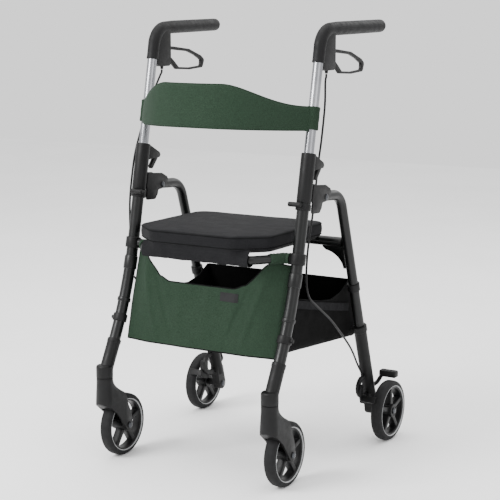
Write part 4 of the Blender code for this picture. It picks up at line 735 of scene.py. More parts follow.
def post_sleeve(word, side):
    """Plastic sleeve on the post's top, with the trigger's housing and the hinge's cheeks."""
    x = side * LEG_X
    top = post_point(side, SLEEVE_TOP_Z)
    length = (SLEEVE_TOP_Z - 0.636) / math.cos(POST_LEAN)
    profile = soft_edged(-length, 0.0, 0.01415, 0.01675, 0.0016)
    sleeve = turned(f"{word}_sleeve_casting", top, POST_AXIS, profile, 48)
    band = [(-0.006, 0.0118), (-0.0006, 0.0118), (-0.0006, 0.0146), (-0.006, 0.0146)]
    neck = turned("neck", top, POST_AXIS, band, 48)
    cheek = rounded_outline(
        [
            (post_y(0.676) + 0.009, 0.6760),
            (-0.0520, 0.6704),
            (-0.0300, 0.6600),
            (-0.0260, 0.6520),
            (-0.0320, 0.6420),
            (-0.0520, 0.6320),
            (-0.0678, 0.6310),
            (-0.0716, 0.6197),
            (-0.0816, 0.6092),
            (post_y(0.611) + 0.0135, 0.6110),
            (post_y(0.636) + 0.0135, 0.6360),
            (post_y(0.640) + 0.009, 0.6400),
        ],
        0.006,
        4,
    )
    cheeks = []
    for sign in (-1.0, 1.0):
        middle = x + sign * 0.0148
        cheeks.append(bevelled(side_plate("cheek", cheek, middle - 0.0020, middle + 0.0020), 0.0010))
    wedge = rounded_outline(
        [
            (post_y(0.7425) + 0.01475, 0.7425),
            (-0.0491, 0.7208),
            (-0.0452, 0.7140),
            (-0.0499, 0.7078),
            (-0.0690, 0.7080),
            (post_y(0.7055) + 0.01475, 0.7055),
        ],
        0.004,
        4,
    )
    housing = side_plate("housing", wedge, x - 0.0085, x + 0.0085)
    carved(housing, block("slot", (x - 0.0048, -0.0808, 0.654), (x + 0.0048, -0.023, 0.7338)))
    bevelled(housing, 0.0010)
    return dressed(joined(sleeve, neck, housing, *cheeks), "plastic", f"{word}_post_sleeve")


def height_latch(word, side):
    """Trigger that frees the handle's height."""
    x = side * LEG_X
    pivot = Vector((-0.0530, 0.7140))
    tip = Vector((-0.0760, 0.6880))
    down = (tip - pivot).normalized()
    aside = math.degrees(math.atan2(-down.x, down.y))
    outline = arc(pivot, 0.0063, aside + 180.0, aside + 360.0, 14) + arc(tip, 0.0055, aside, aside + 180.0, 12)
    finger = side_plate(f"{word}_height_trigger", outline, x - 0.0045, x + 0.0045)
    bevelled(finger, 0.0014, 3)
    middle = Vector((x, pivot.x, pivot.y))
    pin = rod("pin", middle - ACROSS * 0.0083, middle + ACROSS * 0.0083, 0.0025)
    return dressed(joined(finger, pin), "plastic", f"{word}_height_latch")


def handle_tube(word, side):
    """Telescopic tube that bends to the rear on top."""
    path = handle_path(side, SLEEVE_TOP_Z - 0.1120, 0.1930, 12)
    bar = tube(f"{word}_handle_bar", path, 0.0115)
    return dressed(bar, "aluminium", f"{word}_handle_tube")


def grip(word, side):
    """The moulded cover: a slim neck on the post, the bend and a fuller run for the palm, closed at its end."""
    path = handle_path(side, 0.9450, 0.2330, 14)
    bend_end = path[-2]
    tip = path[-1]
    shares = (0.06, 0.12, 0.3, 0.5, 0.72, 0.88, 0.96, 0.985, 0.996)
    radii_on = (0.01500, 0.0157, 0.0157, 0.0157, 0.0156, 0.0155, 0.0154, 0.0149, 0.0138)
    path = path[:-1] + [bend_end.lerp(tip, share) for share in shares] + [tip]
    radii = [0.0144] * (len(path) - 10) + list(radii_on) + [0.0112]
    # A rolled lip where the cover starts on the post
    start = path[0]
    axis = (path[1] - path[0]).normalized()
    path = [start, start + axis * 0.0008, start + axis * 0.0040, start + axis * 0.0052] + path[1:]
    radii = [0.0132, 0.0144, 0.0144, 0.0139] + [0.0141] * 1 + radii[2:]
    cover = tube(f"{word}_grip_cover", path, 0.0157, radii, 40)
    return dressed(cover, "grip", f"{word}_grip", angle=55.0)


def brake_housing(word, side):
    """Housing that carries the brake lever, with the cable's ferrule."""
    x = side * LEG_X
    outline = [(p.y, p.z) for p in handle_path(side, 0.9470, 0.0005, 12)]
    outline += [(0.0005, 0.939), (-0.0002, 0.9348), (-0.0020, 0.9310), (-0.0045, 0.9282), (-0.0075, 0.9270)]
    outline += [(-0.0430, 0.9270), (-0.0480, 0.9280), (-0.0600, 0.9335)]
    body = side_plate(f"{word}_lever_housing", outline, x - 0.0110, x + 0.0110)
    carved(body, block("slot", (x - 0.0043, -0.0185, 0.900), (x + 0.0043, 0.060, 0.9795)))
    bevelled(body, 0.0016)
    top = Vector((x, -0.0250, 0.9330))
    profile = [(0.0, 0.0), (0.0, 0.0042), (0.0080, 0.0042), (0.0086, 0.0036)]
    profile += [(0.0112, 0.0036), (0.0130, 0.0030), (0.0130, 0.0)]
    nozzle = turned("ferrule", top, -UP, profile, 28)
    return dressed(joined(body, nozzle), "plastic", f"{word}_brake_housing")


LEVER_OUTER = [
    (-0.0150, 0.9700),
    (-0.0160, 0.9540),
    (0.0000, 0.9420),
    (0.0193, 0.9283),
    (0.0331, 0.9175),
    (0.0924, 0.9145),
    (0.1510, 0.9180),
    (0.1600, 0.9380),
    (0.1443, 0.9485),
    (0.0910, 0.9660),
    (0.0202, 0.9735),
]
LEVER_INNER = [
    (0.0060, 0.9665),
    (0.0060, 0.9510),
    (0.0249, 0.9380),
    (0.0447, 0.9225),
    (0.0924, 0.9200),
    (0.1420, 0.9230),
    (0.1440, 0.9370),
    (0.1156, 0.9500),
    (0.0832, 0.9600),
]


def brake_lever(word, side):
    """Loop lever under the grip."""
    x = side * LEG_X
    lever = side_plate(f"{word}_loop_lever", rounded_outline(LEVER_OUTER, 0.008, 8), x - 0.0040, x + 0.0040)
    carved(lever, side_plate("gap", rounded_outline(LEVER_INNER, 0.006, 8), x - 0.008, x + 0.008))
    bevelled(lever, 0.0017, 3)
    pivot = Vector((x, -0.0080, 0.9600))
    pin = rod("pin", pivot - ACROSS * 0.0105, pivot + ACROSS * 0.0105, 0.0030)
    return dressed(joined(lever, pin), "plastic", f"{word}_brake_lever")


def crossbar_collar(word, side):
    """Collar that carries the front crossbar on the leg."""
    centre = leg_point(side, BAR_Z)
    collar = ring(f"{word}_bar_collar", centre, leg_axis(BAR_Z), 0.0130, 0.0180, 0.0144, 0.0022)
    spigot = rod("spigot", centre - ACROSS * side * 0.0160, centre - ACROSS * side * 0.0245, 0.0079)
    return dressed(joined(collar, spigot), "plastic", f"{word}_crossbar_collar")


def hanger_peg(word, side):
    """Clip round the post with a sideways peg."""
    clip = ring(f"{word}_hanging_clip", post_point(side, 0.6265), POST_AXIS, 0.0070, 0.01755, 0.0142, 0.0014)
    y = post_y(0.6350) - 0.02275
    peg = rod("peg", Vector((side * 0.2000, y, 0.6350)), Vector((side * 0.2330, y, 0.6350)), 0.0056, 0.0022)
    return dressed(joined(clip, peg), "plastic", f"{word}_hanger_peg")


def strap_clamps(word, side):
    """Clamps that hold the ends of the side strap on the front and the rear leg."""
    centre = leg_point(side, 0.3380)
    clamp = ring(f"{word}_front_clamp", centre, leg_axis(0.3380), 0.0090, 0.0170, 0.0145, 0.0016)
    out = ACROSS * side
    knob = rod("knob", centre + out * 0.0155, centre + out * 0.0230, 0.0045, 0.0012)
    dressed(joined(clamp, knob), "plastic", f"{word}_front_strap_clamp")
    centre = rear_point(side, 0.4020)
    clamp = ring(f"{word}_rear_clamp", centre, REAR_AXIS, 0.0100, 0.0150, 0.0123, 0.0016)
    stud = rod("stud", centre - out * 0.0135, centre - out * 0.0170, 0.0045, 0.0008)
    return dressed(joined(clamp, stud), "plastic", f"{word}_rear_strap_clamp")


def caster_socket(word, side):
    """Housing at the leg's foot: a round head with a sleeve that leans with the leg."""
    low = Vector((side * LEG_X, STEM_Y, 0.2060))
    profile = [(0.0, 0.0063), (0.0, 0.0192), (0.0008, 0.0200), (0.0250, 0.0200), (0.0272, 0.0194), (0.0290, 0.0178)]
    profile += [(0.0298, 0.0150), (0.0300, 0.0110), (0.0300, 0.0), (0.0215, 0.0), (0.0215, 0.0063)]
    housing = turned(f"{word}_caster_housing", low, UP, profile, 56)
    bottom = leg_point(side, 0.2280)
    top = leg_point(side, 0.2900)
    axis = top - bottom
    length = axis.length
    lip = [(0.0, 0.0), (0.0, 0.01575), (length - 0.0100, 0.01575), (length - 0.0094, 0.0165), (length - 0.0010, 0.0165)]
    lip += [(length, 0.0158), (length, 0.0)]
    sleeve = turned("leaning sleeve", bottom, axis, lip, 48)
    welded(housing, sleeve)
    end = leg_point(side, 0.2532)
    carved(housing, rod("bore", end, leg_point(side, 0.3100), 0.01445, 0.0002, 48))
    bevelled(housing, 0.0012, 2, 30.0)
    return dressed(housing, "plastic", f"{word}_caster_socket")


def fork(word, side):
    """The caster's body: a round head that widens into a hood over the tyre, and two arms down to the axle."""
    x = side * LEG_X
    y = STEM_Y
    hub = FRONT_AXLE_Y
    top = 0.2052
    neck_z = 0.2000
    hood_drop = 0.0580
    steps = 26
    rows = []
    for height in [top] + [neck_z - hood_drop * k / steps for k in range(steps + 1)] + [0.0400]:
        down = min(1.0, max(0.0, (neck_z - height) / hood_drop))
        wide = 0.0197 + 0.0028 * smooth_step(down)
        ahead = 0.0197 + 0.0011 * down
        behind = 0.0197 + 0.0773 * down**1.9
        square = 2.0 + 3.0 * down**1.6
        row = []
        for k in range(72):
            angle = 2.0 * math.pi * (k + 0.5) / 72
            power = 2.0 / square if math.sin(angle) > 0.0 else 1.0
            across = math.copysign(abs(math.cos(angle)) ** power, math.cos(angle))
            along = math.copysign(abs(math.sin(angle)) ** power, math.sin(angle))
            row.append((x + wide * across, y + (behind if along > 0.0 else ahead) * along, height))
        rows.append(row)
    body = capped(sheet_of(f"{word}_caster_fork", rows, closed_columns=True))
    outline = [
        (y - 0.0240, top + 0.0020),
        (y - 0.0240, 0.1470),
        (y - 0.0180, 0.1410),
        (y - 0.0010, 0.1310),
        (y + 0.0200, 0.1130),
        (y + 0.0400, 0.0880),
    ]
    outline += arc((hub, WHEEL_Z), 0.0150, 205.0, 385.0, 16)
    outline += [
        (hub + 0.0080, 0.1060),
        (hub - 0.0040, 0.1290),
        (y + 0.0580, 0.1480),
        (y + 0.0560, 0.1600),
        (y + 0.0505, 0.1705),
        (y + 0.0430, 0.1760),
        (y + 0.0340, 0.1810),
        (y + 0.0280, 0.1880),
        (y + 0.0260, 0.1960),
        (y + 0.0260, top + 0.0020),
    ]
    within(body, side_plate("side view", outline, x - 0.0300, x + 0.0300))
    axle = Vector((x, hub, WHEEL_Z))
    carved(body, rod("slot", axle - ACROSS * 0.0172, axle + ACROSS * 0.0172, 0.0790, 0.0030, 64))
    bevelled(body, 0.0014, 2, 36.0)
    return dressed(body, "plastic", f"{word}_fork", angle=35.0)


def bolt(name, start, end, radius, head, rise):
    """A bolt with a domed head at each end."""
    length = (end - start).length
    dome = [(-rise, 0.0), (-rise, head * 0.45), (-rise * 0.8, head * 0.78), (-rise * 0.45, head * 0.97), (0.0, head)]
    profile = dome + [(0.0, radius), (length, radius)]
    profile += [(length - along, size) for along, size in reversed(dome)]
    return turned(name, start, end - start, profile, 28)


def axles(word, side):
    """Axle bolts, the swivel's stem and the hinge pin of one side."""
    centre = Vector((side * LEG_X, FRONT_AXLE_Y, WHEEL_Z))
    reach = ACROSS * 0.0228
    front = bolt(f"{word}_front_bolt", centre - reach, centre + reach, 0.0040, 0.0075, 0.0035)
    dressed(front, "zinc", f"{word}_front_axle")
    inner = Vector((side * 0.2149, REAR_AXLE_Y, WHEEL_Z))
    outer = Vector((side * 0.2903, REAR_AXLE_Y, WHEEL_Z))
    dressed(bolt(f"{word}_rear_bolt", inner, outer, 0.0040, 0.0075, 0.0035), "zinc", f"{word}_rear_axle")
    low = Vector((side * LEG_X, STEM_Y, 0.1865))
    stem = rod(f"{word}_swivel_stem", low, low + UP * 0.0395, 0.0060, 0.0008)
    dressed(stem, "zinc", f"{word}_caster_stem")
    hinge = Vector((side * LEG_X, FOLD_Y, FOLD_Z))
    reach = ACROSS * 0.0171
    pin = bolt(f"{word}_hinge_pin", hinge - reach, hinge + reach, 0.0040, 0.0070, 0.0025)
    dressed(pin, "zinc", f"{word}_frame_pivot_pin")


def tyre(name, node, centre):
    """Tyre with rounded shoulders."""
    profile = [(-0.0115, 0.0615), (0.0115, 0.0615), (0.0136, 0.0627), (0.0140, 0.0640), (0.0140, 0.0668)]
    profile += [(0.0137, 0.0690), (0.0127, 0.0712), (0.0110, 0.0731), (0.0088, 0.0743), (0.0060, 0.0748)]
    profile += [(0.0030, 0.0750), (-0.0030, 0.0750)]
    profile += [(-along, radius) for along, radius in profile[2:10]][::-1]
    return dressed(turned(name, centre, ACROSS, profile, 96), "tyre", node, angle=60.0)


def wheel_disc(name, node, centre):
    """Rim, five spokes and hub in one moulding, with a thin light grey ring round the rim's edge that is a painted
    highlight on its lip.
    """
    outer = 0.0612
    half_rim = [(-0.0115, outer), (-0.0115, 0.0590), (-0.0104, 0.0572), (-0.0070, 0.0567)]
    rim = turned(name, centre, ACROSS, half_rim + [(-along, radius) for along, radius in half_rim[::-1]], 96)
    bearing = soft_edged(-0.0160, 0.0160, 0.0043, 0.0165, 0.0014)
    hub = turned("hub", centre, ACROSS, bearing, 48)
    recess = [(0.0152, 0.0090), (0.0152, 0.0125), (0.0175, 0.0125), (0.0175, 0.0090)]
    carved(hub, turned("recess", centre, ACROSS, recess, 48), turned("recess", centre, -ACROSS, recess, 48))
    pieces = [coloured(rim, "wheel"), coloured(hub, "wheel")]
    # One spoke, then four copies turned round the axle
    outline = [(0.0135, -0.0068), (0.0200, -0.0063), (0.0400, -0.0053), (0.0575, -0.0058)]
    outline += [(0.0600, -0.0074)]
    outline += [(u, -v) for u, v in reversed(outline)]
    spoke = plate("spoke", outline, -0.0098, 0.0098, lambda u, v, w: Vector((w, v, u)))
    bevelled(spoke, 0.0014, 2)
    coloured(spoke, "wheel")
    for k in range(5):
        copy = spoke.copy()
        copy.data = spoke.data.copy()
        bpy.context.scene.collection.objects.link(copy)
        settled(copy, Matrix.Translation(centre) @ Matrix.Rotation(2 * math.pi * k / 5, 4, "X"))
        pieces.append(copy)
    bpy.data.objects.remove(spoke)
    # The light grey rings on both faces of the rim's edge are a painted highlight, not a part of the wheel's colour
    edge = [(0.0118, 0.0614), (0.0136, 0.0624), (0.0139, 0.0631), (0.0145, 0.0633), (0.0146, 0.0624), (0.0128, 0.0612)]
    for sign in (-1.0, 1.0):
        pieces.append(coloured(turned("line", centre, ACROSS * sign, edge, 96), "line"))
    return dressed(joined(*pieces), None, node, angle=40.0)


def wheels(word, side):
    """Front and rear wheel of one side."""
    for place, centre in (
        ("front", Vector((side * LEG_X, FRONT_AXLE_Y, WHEEL_Z))),
        ("rear", Vector((side * REAR_WHEEL_X, REAR_AXLE_Y, WHEEL_Z))),
    ):
        tyre(f"{word}_{place}_tread", f"{word}_{place}_tyre", centre)
        wheel_disc(f"{word}_{place}_wheel_disc", f"{word}_{place}_rim", centre)


def rear_leg(word, side):
    """Rear leg with the arch that joins it to the hinge."""
    x = side * LEG_X
    corner_y = (0.0942 + REAR_LEAN * (0.4965 - FOLD_Z - 0.060 * FOLD_Y)) / (1.0 - REAR_LEAN * 0.060)
    corners = [Vector((x, -0.0640, arch_z(-0.0640))), Vector((x, corner_y, arch_z(corner_y))), rear_point(side, 0.1503)]
    leg = tube(f"{word}_arched_tube", rounded_path(corners, [0.0500], 16), 0.0120)
    return dressed(leg, "steel", f"{word}_rear_leg")


def leg_end(word, side):
    """The moulded foot of the rear leg with the axle boss, the cable's stop and the step pedal."""
    x = side * LEG_X
    top = rear_point(side, 0.3000)
    length = (0.3000 - 0.1050) * math.sqrt(1.0 + REAR_LEAN**2)
    profile = [
        (0.0, 0.0),
        (0.0, 0.0165),
        (-0.0012, 0.0177),
        (-0.0148, 0.0177),
        (-0.0160, 0.0166),
        (-0.0166, 0.0155),
        (-length, 0.0155),
        (-length, 0.0),
    ]
    foot = turned(f"{word}_leg_foot", top, REAR_AXIS, profile, 48)
    hub = Vector((x, REAR_AXLE_Y, WHEEL_Z))
    web = [
        (rear_y(0.125) - 0.013, 0.125),
        (REAR_AXLE_Y - 0.0147, 0.078),
        (REAR_AXLE_Y + 0.0147, 0.078),
        (rear_y(0.125) + 0.014, 0.125),
    ]
    boss = rod("boss", hub - ACROSS * 0.0110, hub + ACROSS * 0.0110, 0.0150, 0.0014, 48)
    welded(foot, side_plate("web", web, x - 0.0110, x + 0.0110), boss)
    spacer = rod("spacer", hub + ACROSS * side * 0.010, Vector((side * 0.2572, REAR_AXLE_Y, WHEEL_Z)), 0.0085)
    outer = [(rear_y(0.165), 0.1680), (0.1680, 0.1665), (0.1580, 0.1600), (0.1510, 0.1500), (0.1490, 0.1400)]
    outer += [(0.1520, 0.1290), (0.1600, 0.1190), (0.1720, 0.1120), (0.1900, 0.1085), (rear_y(0.112), 0.1085)]
    inner = [(rear_y(0.120), 0.1200), (0.1900, 0.1200), (0.1760, 0.1225), (0.1670, 0.1290), (0.1635, 0.1380)]
    inner += [(0.1645, 0.1480), (0.1700, 0.1545), (0.1800, 0.1575), (rear_y(0.158), 0.1580)]
    stop = rounded_outline(outer + inner, 0.006, 4)
    bracket = bevelled(side_plate("cable stop", stop, x - 0.0040, x + 0.0040), 0.0008)
    pin = Vector((x, 0.1600, 0.1450))
    end = pin + ACROSS * side * 0.0116
    brake_pin = rod("brake pin", pin, end, 0.0030)
    head = rod("brake pin head", end - ACROSS * side * 0.0012, end, 0.0055, 0.0005)
    knob = rear_point(side, 0.226) + BACK * 0.010
    knob = rod("knob", knob, knob + BACK * 0.0135 + UP * 0.003, 0.0052, 0.0018)
    near, far = sorted((side * 0.2382, side * 0.2842))
    pad = rounded_outline([(near, 0.2450), (far, 0.2450), (far, 0.2670), (near, 0.2670)], 0.006, 6)
    pad = bevelled(level_plate("pedal", pad, 0.1530, 0.1700), 0.0040, 4)
    grooves = []
    for k in range(5):
        gx = side * (0.2442 + 0.0085 * k)
        grooves.append(block("groove", (gx - 0.0011, 0.2400, 0.1689), (gx + 0.0011, 0.2720, 0.1760)))
    carved(pad, *grooves)
    start = Vector((x, rear_y(0.128) + 0.006, 0.128))
    bend = Vector((side * (LEG_X + 0.006), 0.2520, 0.136))
    finish = Vector((side * (LEG_X + 0.020), 0.2560, 0.1615))
    stalk = tube("pedal stalk", rounded_path([start, bend, finish], [0.008], 8), 0.0050, None, 20)
    whole = joined(foot, spacer, bracket, brake_pin, head, knob, pad, stalk)
    return dressed(whole, "plastic", f"{word}_leg_end", angle=35.0)


def brake_arm(word, side):
    """Arm with the shoe that presses on the rear tyre."""
    near = side * (LEG_X + 0.0048)
    far = side * (LEG_X + 0.0098)
    angle = math.radians(150.0)
    toward = Vector((math.cos(angle), math.sin(angle)))
    along = Vector((-math.sin(angle), math.cos(angle)))
    face = Vector((REAR_AXLE_Y, WHEEL_Z)) + toward * 0.0780
    y, z = 0.1600, 0.1450
    outline = [
        (y + 0.0055, z + 0.0055),
        (y - 0.0055, z + 0.0055),
        (y - 0.0080, z - 0.0040),
        (face.x - 0.0085, face.y + 0.0040),
        (face.x - 0.0040, face.y - 0.0100),
        (0.1780, face.y - 0.0170),
        (0.1870, face.y - 0.0150),
        (0.1870, face.y - 0.0060),
        (0.1780, face.y - 0.0050),
        (face.x + 0.0070, face.y + 0.0020),
        (y + 0.0080, z - 0.0050),
    ]
    arm = side_plate(f"{word}_brake_shoe_arm", rounded_outline(outline, 0.004, 5), min(near, far), max(near, far))
    pivot = Vector((side * LEG_X, y, z))
    carved(arm, rod("bore", pivot, pivot + ACROSS * side * 0.030, 0.0033))
    bevelled(arm, 0.0009)
    inner = side * (LEG_X + 0.0088)
    outer = side * 0.2730
    half_shoe = along * 0.008
    corners = [face + half_shoe, face - half_shoe, face - half_shoe + toward * 0.006, face + half_shoe + toward * 0.006]
    shoe = side_plate("shoe", [tuple(c) for c in corners], min(inner, outer), max(inner, outer))
    bevelled(shoe, 0.0014, 3)
    return dressed(joined(arm, shoe), "plastic", f"{word}_brake_arm")


def bar_corners(side, inset):
    y = leg_y(BAR_Z)
    end = LEG_X - inset
    return [
        Vector((side * end, y, BAR_Z)),
        Vector((side * (end - 0.0140), y, BAR_Z)),
        Vector((side * BAR_MIDDLE_HALF, y - BAR_BOW, BAR_Z)),
    ]


def crossbars():
    """Bowed front bar, and the rear bar with its gussets."""
    corners = bar_corners(-1.0, 0.0183) + bar_corners(1.0, 0.0183)[::-1]
    path = rounded_path(corners, [0.0140, 0.0200, 0.0200, 0.0140], 8)
    dressed(tube("bowed_front_bar", path, 0.0100), "steel", "front_crossbar")
    y = rear_y(REAR_BAR_Z)
    reach = 0.2139
    bar = tube("rear_bar", [Vector((-reach, y, REAR_BAR_Z)), Vector((reach, y, REAR_BAR_Z))], REAR_BAR_RADIUS)
    gussets = []
    for side in (-1.0, 1.0):
        down = -REAR_AXIS
        through = Vector((0.0, down.z, -down.y))
        start = rear_point(side, REAR_BAR_Z) - ACROSS * side * 0.0123
        outline = [(0.0, 0.0106), (0.0560, 0.0106), (0.0560, 0.0155)]
        hollow = arc((0.0560, 0.0715), 0.0480, 265.0, 185.0, 20)
        outline += [(u, max(v, 0.0155)) for u, v in hollow[1:]]
        outline += [(0.0080, 0.0715), (0.0, 0.0715)]
        made = plate(
            "gusset",
            outline,
            -0.0020,
            0.0020,
            lambda u, v, w, start=start, side=side, through=through: start - ACROSS * side * u + down * v + through * w,
        )
        gussets.append(bevelled(made, 0.0009))
    dressed(joined(bar, *gussets), "steel", "rear_crossbar")


# Soft goods


def backrest():
    """A padded band that bulges to the front, sewn round its edge, with a pocket round each post."""
    stations = 96
    around = 28
    rows = []
    upper = []
    lower = []
    for k in range(stations + 1):
        share = math.sin(math.pi / 2 * (2.0 * k / stations - 1.0))
        aside = abs(share)
        x = share * LEG_X
        top = 0.9020 - 0.0520 * smooth_step((aside - 0.32) / 0.68) - 0.0018
        low = 0.7955 + 0.0090 * (1.0 - aside**2) + 0.0018
        bulge = 0.1580 * (1.0 - aside**2.4)
        slope = 1.676 * aside**1.4
        # The pad thins out where it passes in front of the handle's tube
        room = 0.0152 + bulge - math.sqrt(max(0.0118**2 - (LEG_X - abs(x)) ** 2, 0.0))
        thick = min(0.0118 * min(math.sqrt(1.0 + slope**2), 1.8), room)
        soft = smooth_step((1.0 - aside) / 0.10)
        middle = (top + low) / 2
        half = (top - low) / 2
        row = []
        for j in range(around):
            angle = 2 * math.pi * j / around
            across = math.copysign(abs(math.cos(angle)) ** 0.62, math.cos(angle))
            height = math.copysign(abs(math.sin(angle)) ** 0.42, math.sin(angle))
            z = middle + half * height
            y = post_y(z) - bulge - 0.0155 + (1.0 + across) * thick / 2
            slack = 0.0012 * rough((x * 0.5, 0.0, z), 0.030, 3.1) * soft
            row.append((x, y + slack, z))
        rows.append(row)
        upper.append(Vector((x, post_y(top) - bulge - 0.0155 + thick / 2, top + 0.0003)))
        lower.append(Vector((x, post_y(low) - bulge - 0.0155 + thick / 2, low - 0.0003)))
    parts = [coloured(capped(sheet_of("padded_backrest", rows, closed_columns=True)), "green")]
    for line in (upper, lower):
        parts.append(coloured(tube("piping", line, 0.0018, None, 12), "green"))
    for side in (-1.0, 1.0):
        low = post_point(side, 0.7975)
        high = post_point(side, 0.8480)
        length = (high - low).length
        profile = [(0.0, 0.0122), (0.0, 0.0148), (0.0020, 0.0157), (length * 0.3, 0.0151), (length * 0.55, 0.0156)]
        profile += [(length * 0.8, 0.0150), (length - 0.0020, 0.0157), (length, 0.0146), (length, 0.0122)]
        parts.append(coloured(turned("pocket", low, high - low, profile, 40), "green"))
    whole = joined(*parts)
    dressed(whole, None, "backrest", angle=60.0)
    return whole


def seat_outline(inset, steps=10):
    """The seat seen from above, drawn in by an inset."""
    half = SEAT_HALF - inset
    corners = [(-half, -0.190 + inset), (-0.110, -0.249 + inset), (0.110, -0.249 + inset), (half, -0.190 + inset)]
    corners += [(half, 0.071 - inset), (-half, 0.071 - inset)]
    return rounded_outline(corners, 0.0340, steps)


def even_loop(points, count):
    """The closed outline again, with its points at even spaces."""
    loop = [Vector((u, v, 0.0)) for u, v in points]
    loop.append(loop[0])
    lengths = [0.0]
    for first, second in zip(loop, loop[1:]):
        lengths.append(lengths[-1] + (second - first).length)
    result = []
    place = 0
    for k in range(count):
        target = lengths[-1] * k / count
        while lengths[place + 1] < target:
            place += 1
        span = max(lengths[place + 1] - lengths[place], 1e-9)
        point = loop[place].lerp(loop[place + 1], (target - lengths[place]) / span)
        result.append((point.x, point.y))
    return result


def seat_cushion():
    """A boxed pad: sides that belly out a little between two piped seams, a low crown and soft wrinkles."""
    low = CUSHION_LOW_Z
    thick = CUSHION_EDGE_Z - low
    count = 192
    levels = [
        (0.0060, low),
        (0.0026, low + 0.04 * thick),
        (0.0012, low + 0.11 * thick),
        (0.0018, low + 0.15 * thick),
        (0.0004, low + 0.28 * thick),
        (0.0, low + 0.50 * thick),
        (0.0004, low + 0.72 * thick),
        (0.0014, low + 0.86 * thick),
        (0.0010, low + 0.91 * thick),
        (0.0030, low + 0.98 * thick),
        (0.0080, CUSHION_EDGE_Z + 0.0006),
        (0.0160, CUSHION_EDGE_Z + 0.0013),
        (0.0280, CUSHION_EDGE_Z + 0.0021),
        (0.0500, CUSHION_EDGE_Z + 0.0030),
        (0.0800, CUSHION_EDGE_Z + 0.0036),
        (0.1050, CUSHION_EDGE_Z + 0.0039),
    ]
    rows = []
    for inset, height in levels:
        rows.append([(x, y, height) for x, y in even_loop(seat_outline(inset), count)])
    pad = capped(sheet_of("seat_pad", rows, closed_columns=True))
    for vertex in pad.data.vertices:
        x, y, z = vertex.co
        if z > CUSHION_EDGE_Z:
            vertex.co.z += 0.0009 * rough((x, y, 0.0), 0.055, 5.2) - 0.0004
        elif z > low + 0.001:
            out = Vector((x, y + 0.08, 0.0)).normalized()
            vertex.co += out * 0.0010 * (rough((x, y, z * 0.4), 0.022, 8.4) - 0.4)
    parts = [coloured(pad, "seat")]
    for inset, height in ((0.0016, low + 0.885 * thick), (0.0020, low + 0.13 * thick)):
        line = [Vector((x, y, height)) for x, y in even_loop(seat_outline(inset), 240)]
        parts.append(coloured(tube("piping", line, 0.0012, None, 10, True), "binding"))
    whole = joined(*parts)
    dressed(whole, None, "seat_cushion", angle=60.0)
    return whole


def seat_board():
    """Board under the pad, with its knuckles on the bar and its rest tabs."""
    y = leg_y(BAR_Z) - BAR_BOW
    board = level_plate("seat_board_plate", even_loop(seat_outline(0.010), 120), 0.5275, 0.5335)
    bevelled(board, 0.0012)
    parts = [board]
    for side in (-1.0, 1.0):
        centre = Vector((side * 0.0900, y, BAR_Z))
        knuckle = turned("knuckle", centre - ACROSS * 0.012, ACROSS, soft_edged(0.0, 0.024, 0.0108, 0.0133, 0.0008), 40)
        web = block("web", (side * 0.09 - 0.0118, y - 0.006, 0.5232), (side * 0.09 + 0.0118, y + 0.014, 0.5285))
        rear = rear_y(REAR_BAR_Z)
        tab = block("tab", (side * 0.135 - 0.015, rear - 0.050, 0.5276), (side * 0.135 + 0.015, rear + 0.006, 0.5323))
        parts += [knuckle, web, bevelled(tab, 0.0010)]
    return dressed(joined(*parts), "plastic", "seat_board")


def seat_flap():
    """The cover's front flap: sewn to the pad's lower seam, drawn down over the bar and under it."""
    y = leg_y(BAR_Z) - BAR_BOW
    half = 0.1440
    columns = 96
    lines = 40
    columns_of = []
    for k in range(columns + 1):
        x = half * (2.0 * k / columns - 1.0)
        seam = Vector((0.0, -0.2440 + 0.0200 * smooth_step((abs(x) - 0.100) / 0.038) - y, 0.5350 - BAR_Z))
        radius = 0.0146
        touch = math.atan2(seam.z, seam.y) + math.acos(radius / seam.length)
        bar = Vector((0.0, math.cos(touch), math.sin(touch))) * radius
        curve = [seam.lerp(bar, j / 10) for j in range(10)]
        end = math.radians(345.0)
        curve += [
            Vector((0.0, math.cos(a), math.sin(a))) * radius
            for a in [touch + (end - touch) * j / (lines - 10) for j in range(lines - 9)]
        ]
        columns_of.append([Vector((x, y, BAR_Z)) + point for point in curve])
    rows = []
    for j in range(lines + 1):
        row = []
        for k in range(columns + 1):
            point = columns_of[k][j]
            fade = min(1.0, j / 6.0) * min(1.0, (lines - j) / 6.0)
            out = Vector((0.0, point.y - y, point.z - BAR_Z)).normalized()
            row.append(point + out * (0.0014 * rough((point.x, 0.012 * j / 4.0, 0.0), 0.020, 2.2) * fade))
        rows.append(row)
    flap = sheet_of("cover_flap", rows)
    modified(flap, "SOLIDIFY", thickness=0.0014, offset=0.0)
    facing_out(flap)
    return flap


def bag_front_y(x, z):
    """The bag's front face: flat in the middle, its edges turned back towards the legs."""
    turned_back = 0.0050 * smooth_step((abs(x) - 0.1990) / 0.0090)
    low = -0.2250 + 0.0100 * smooth_step((abs(x) - 0.1200) / 0.0875) + turned_back
    high = -0.1900 + 0.0350 * smooth_step((abs(x) - 0.1500) / 0.0575) + turned_back
    return low + (z - BAG_BOTTOM_Z) / (BAG_TOP_Z - BAG_BOTTOM_Z) * (high - low)


def panel_top(x):
    """Height of the front panel's upper edge: a wide dip between two raised corners."""
    corners = [(0.0, 0.4400), (0.085, 0.4400), (0.117, 0.4500), (0.145, 0.4780), (0.163, 0.4990), (0.1708, 0.5030)]
    corners += [(0.1850, 0.5030), (0.1920, 0.4990), (0.1990, 0.4975), (BAG_HALF, 0.4955)]
    a = min(abs(x), BAG_HALF)
    for (x0, z0), (x1, z1) in zip(corners, corners[1:]):
        if a <= x1:
            t = (a - x0) / (x1 - x0)
            return z0 + (z1 - z0) * (t * t * (3 - 2 * t) if x1 < 0.120 else t)


def panel_half(height):
    """Half the width of the bag's front at a height."""
    return BAG_HALF - 0.0045 * min(1.0, max(0.0, (0.3600 - height) / 0.069))


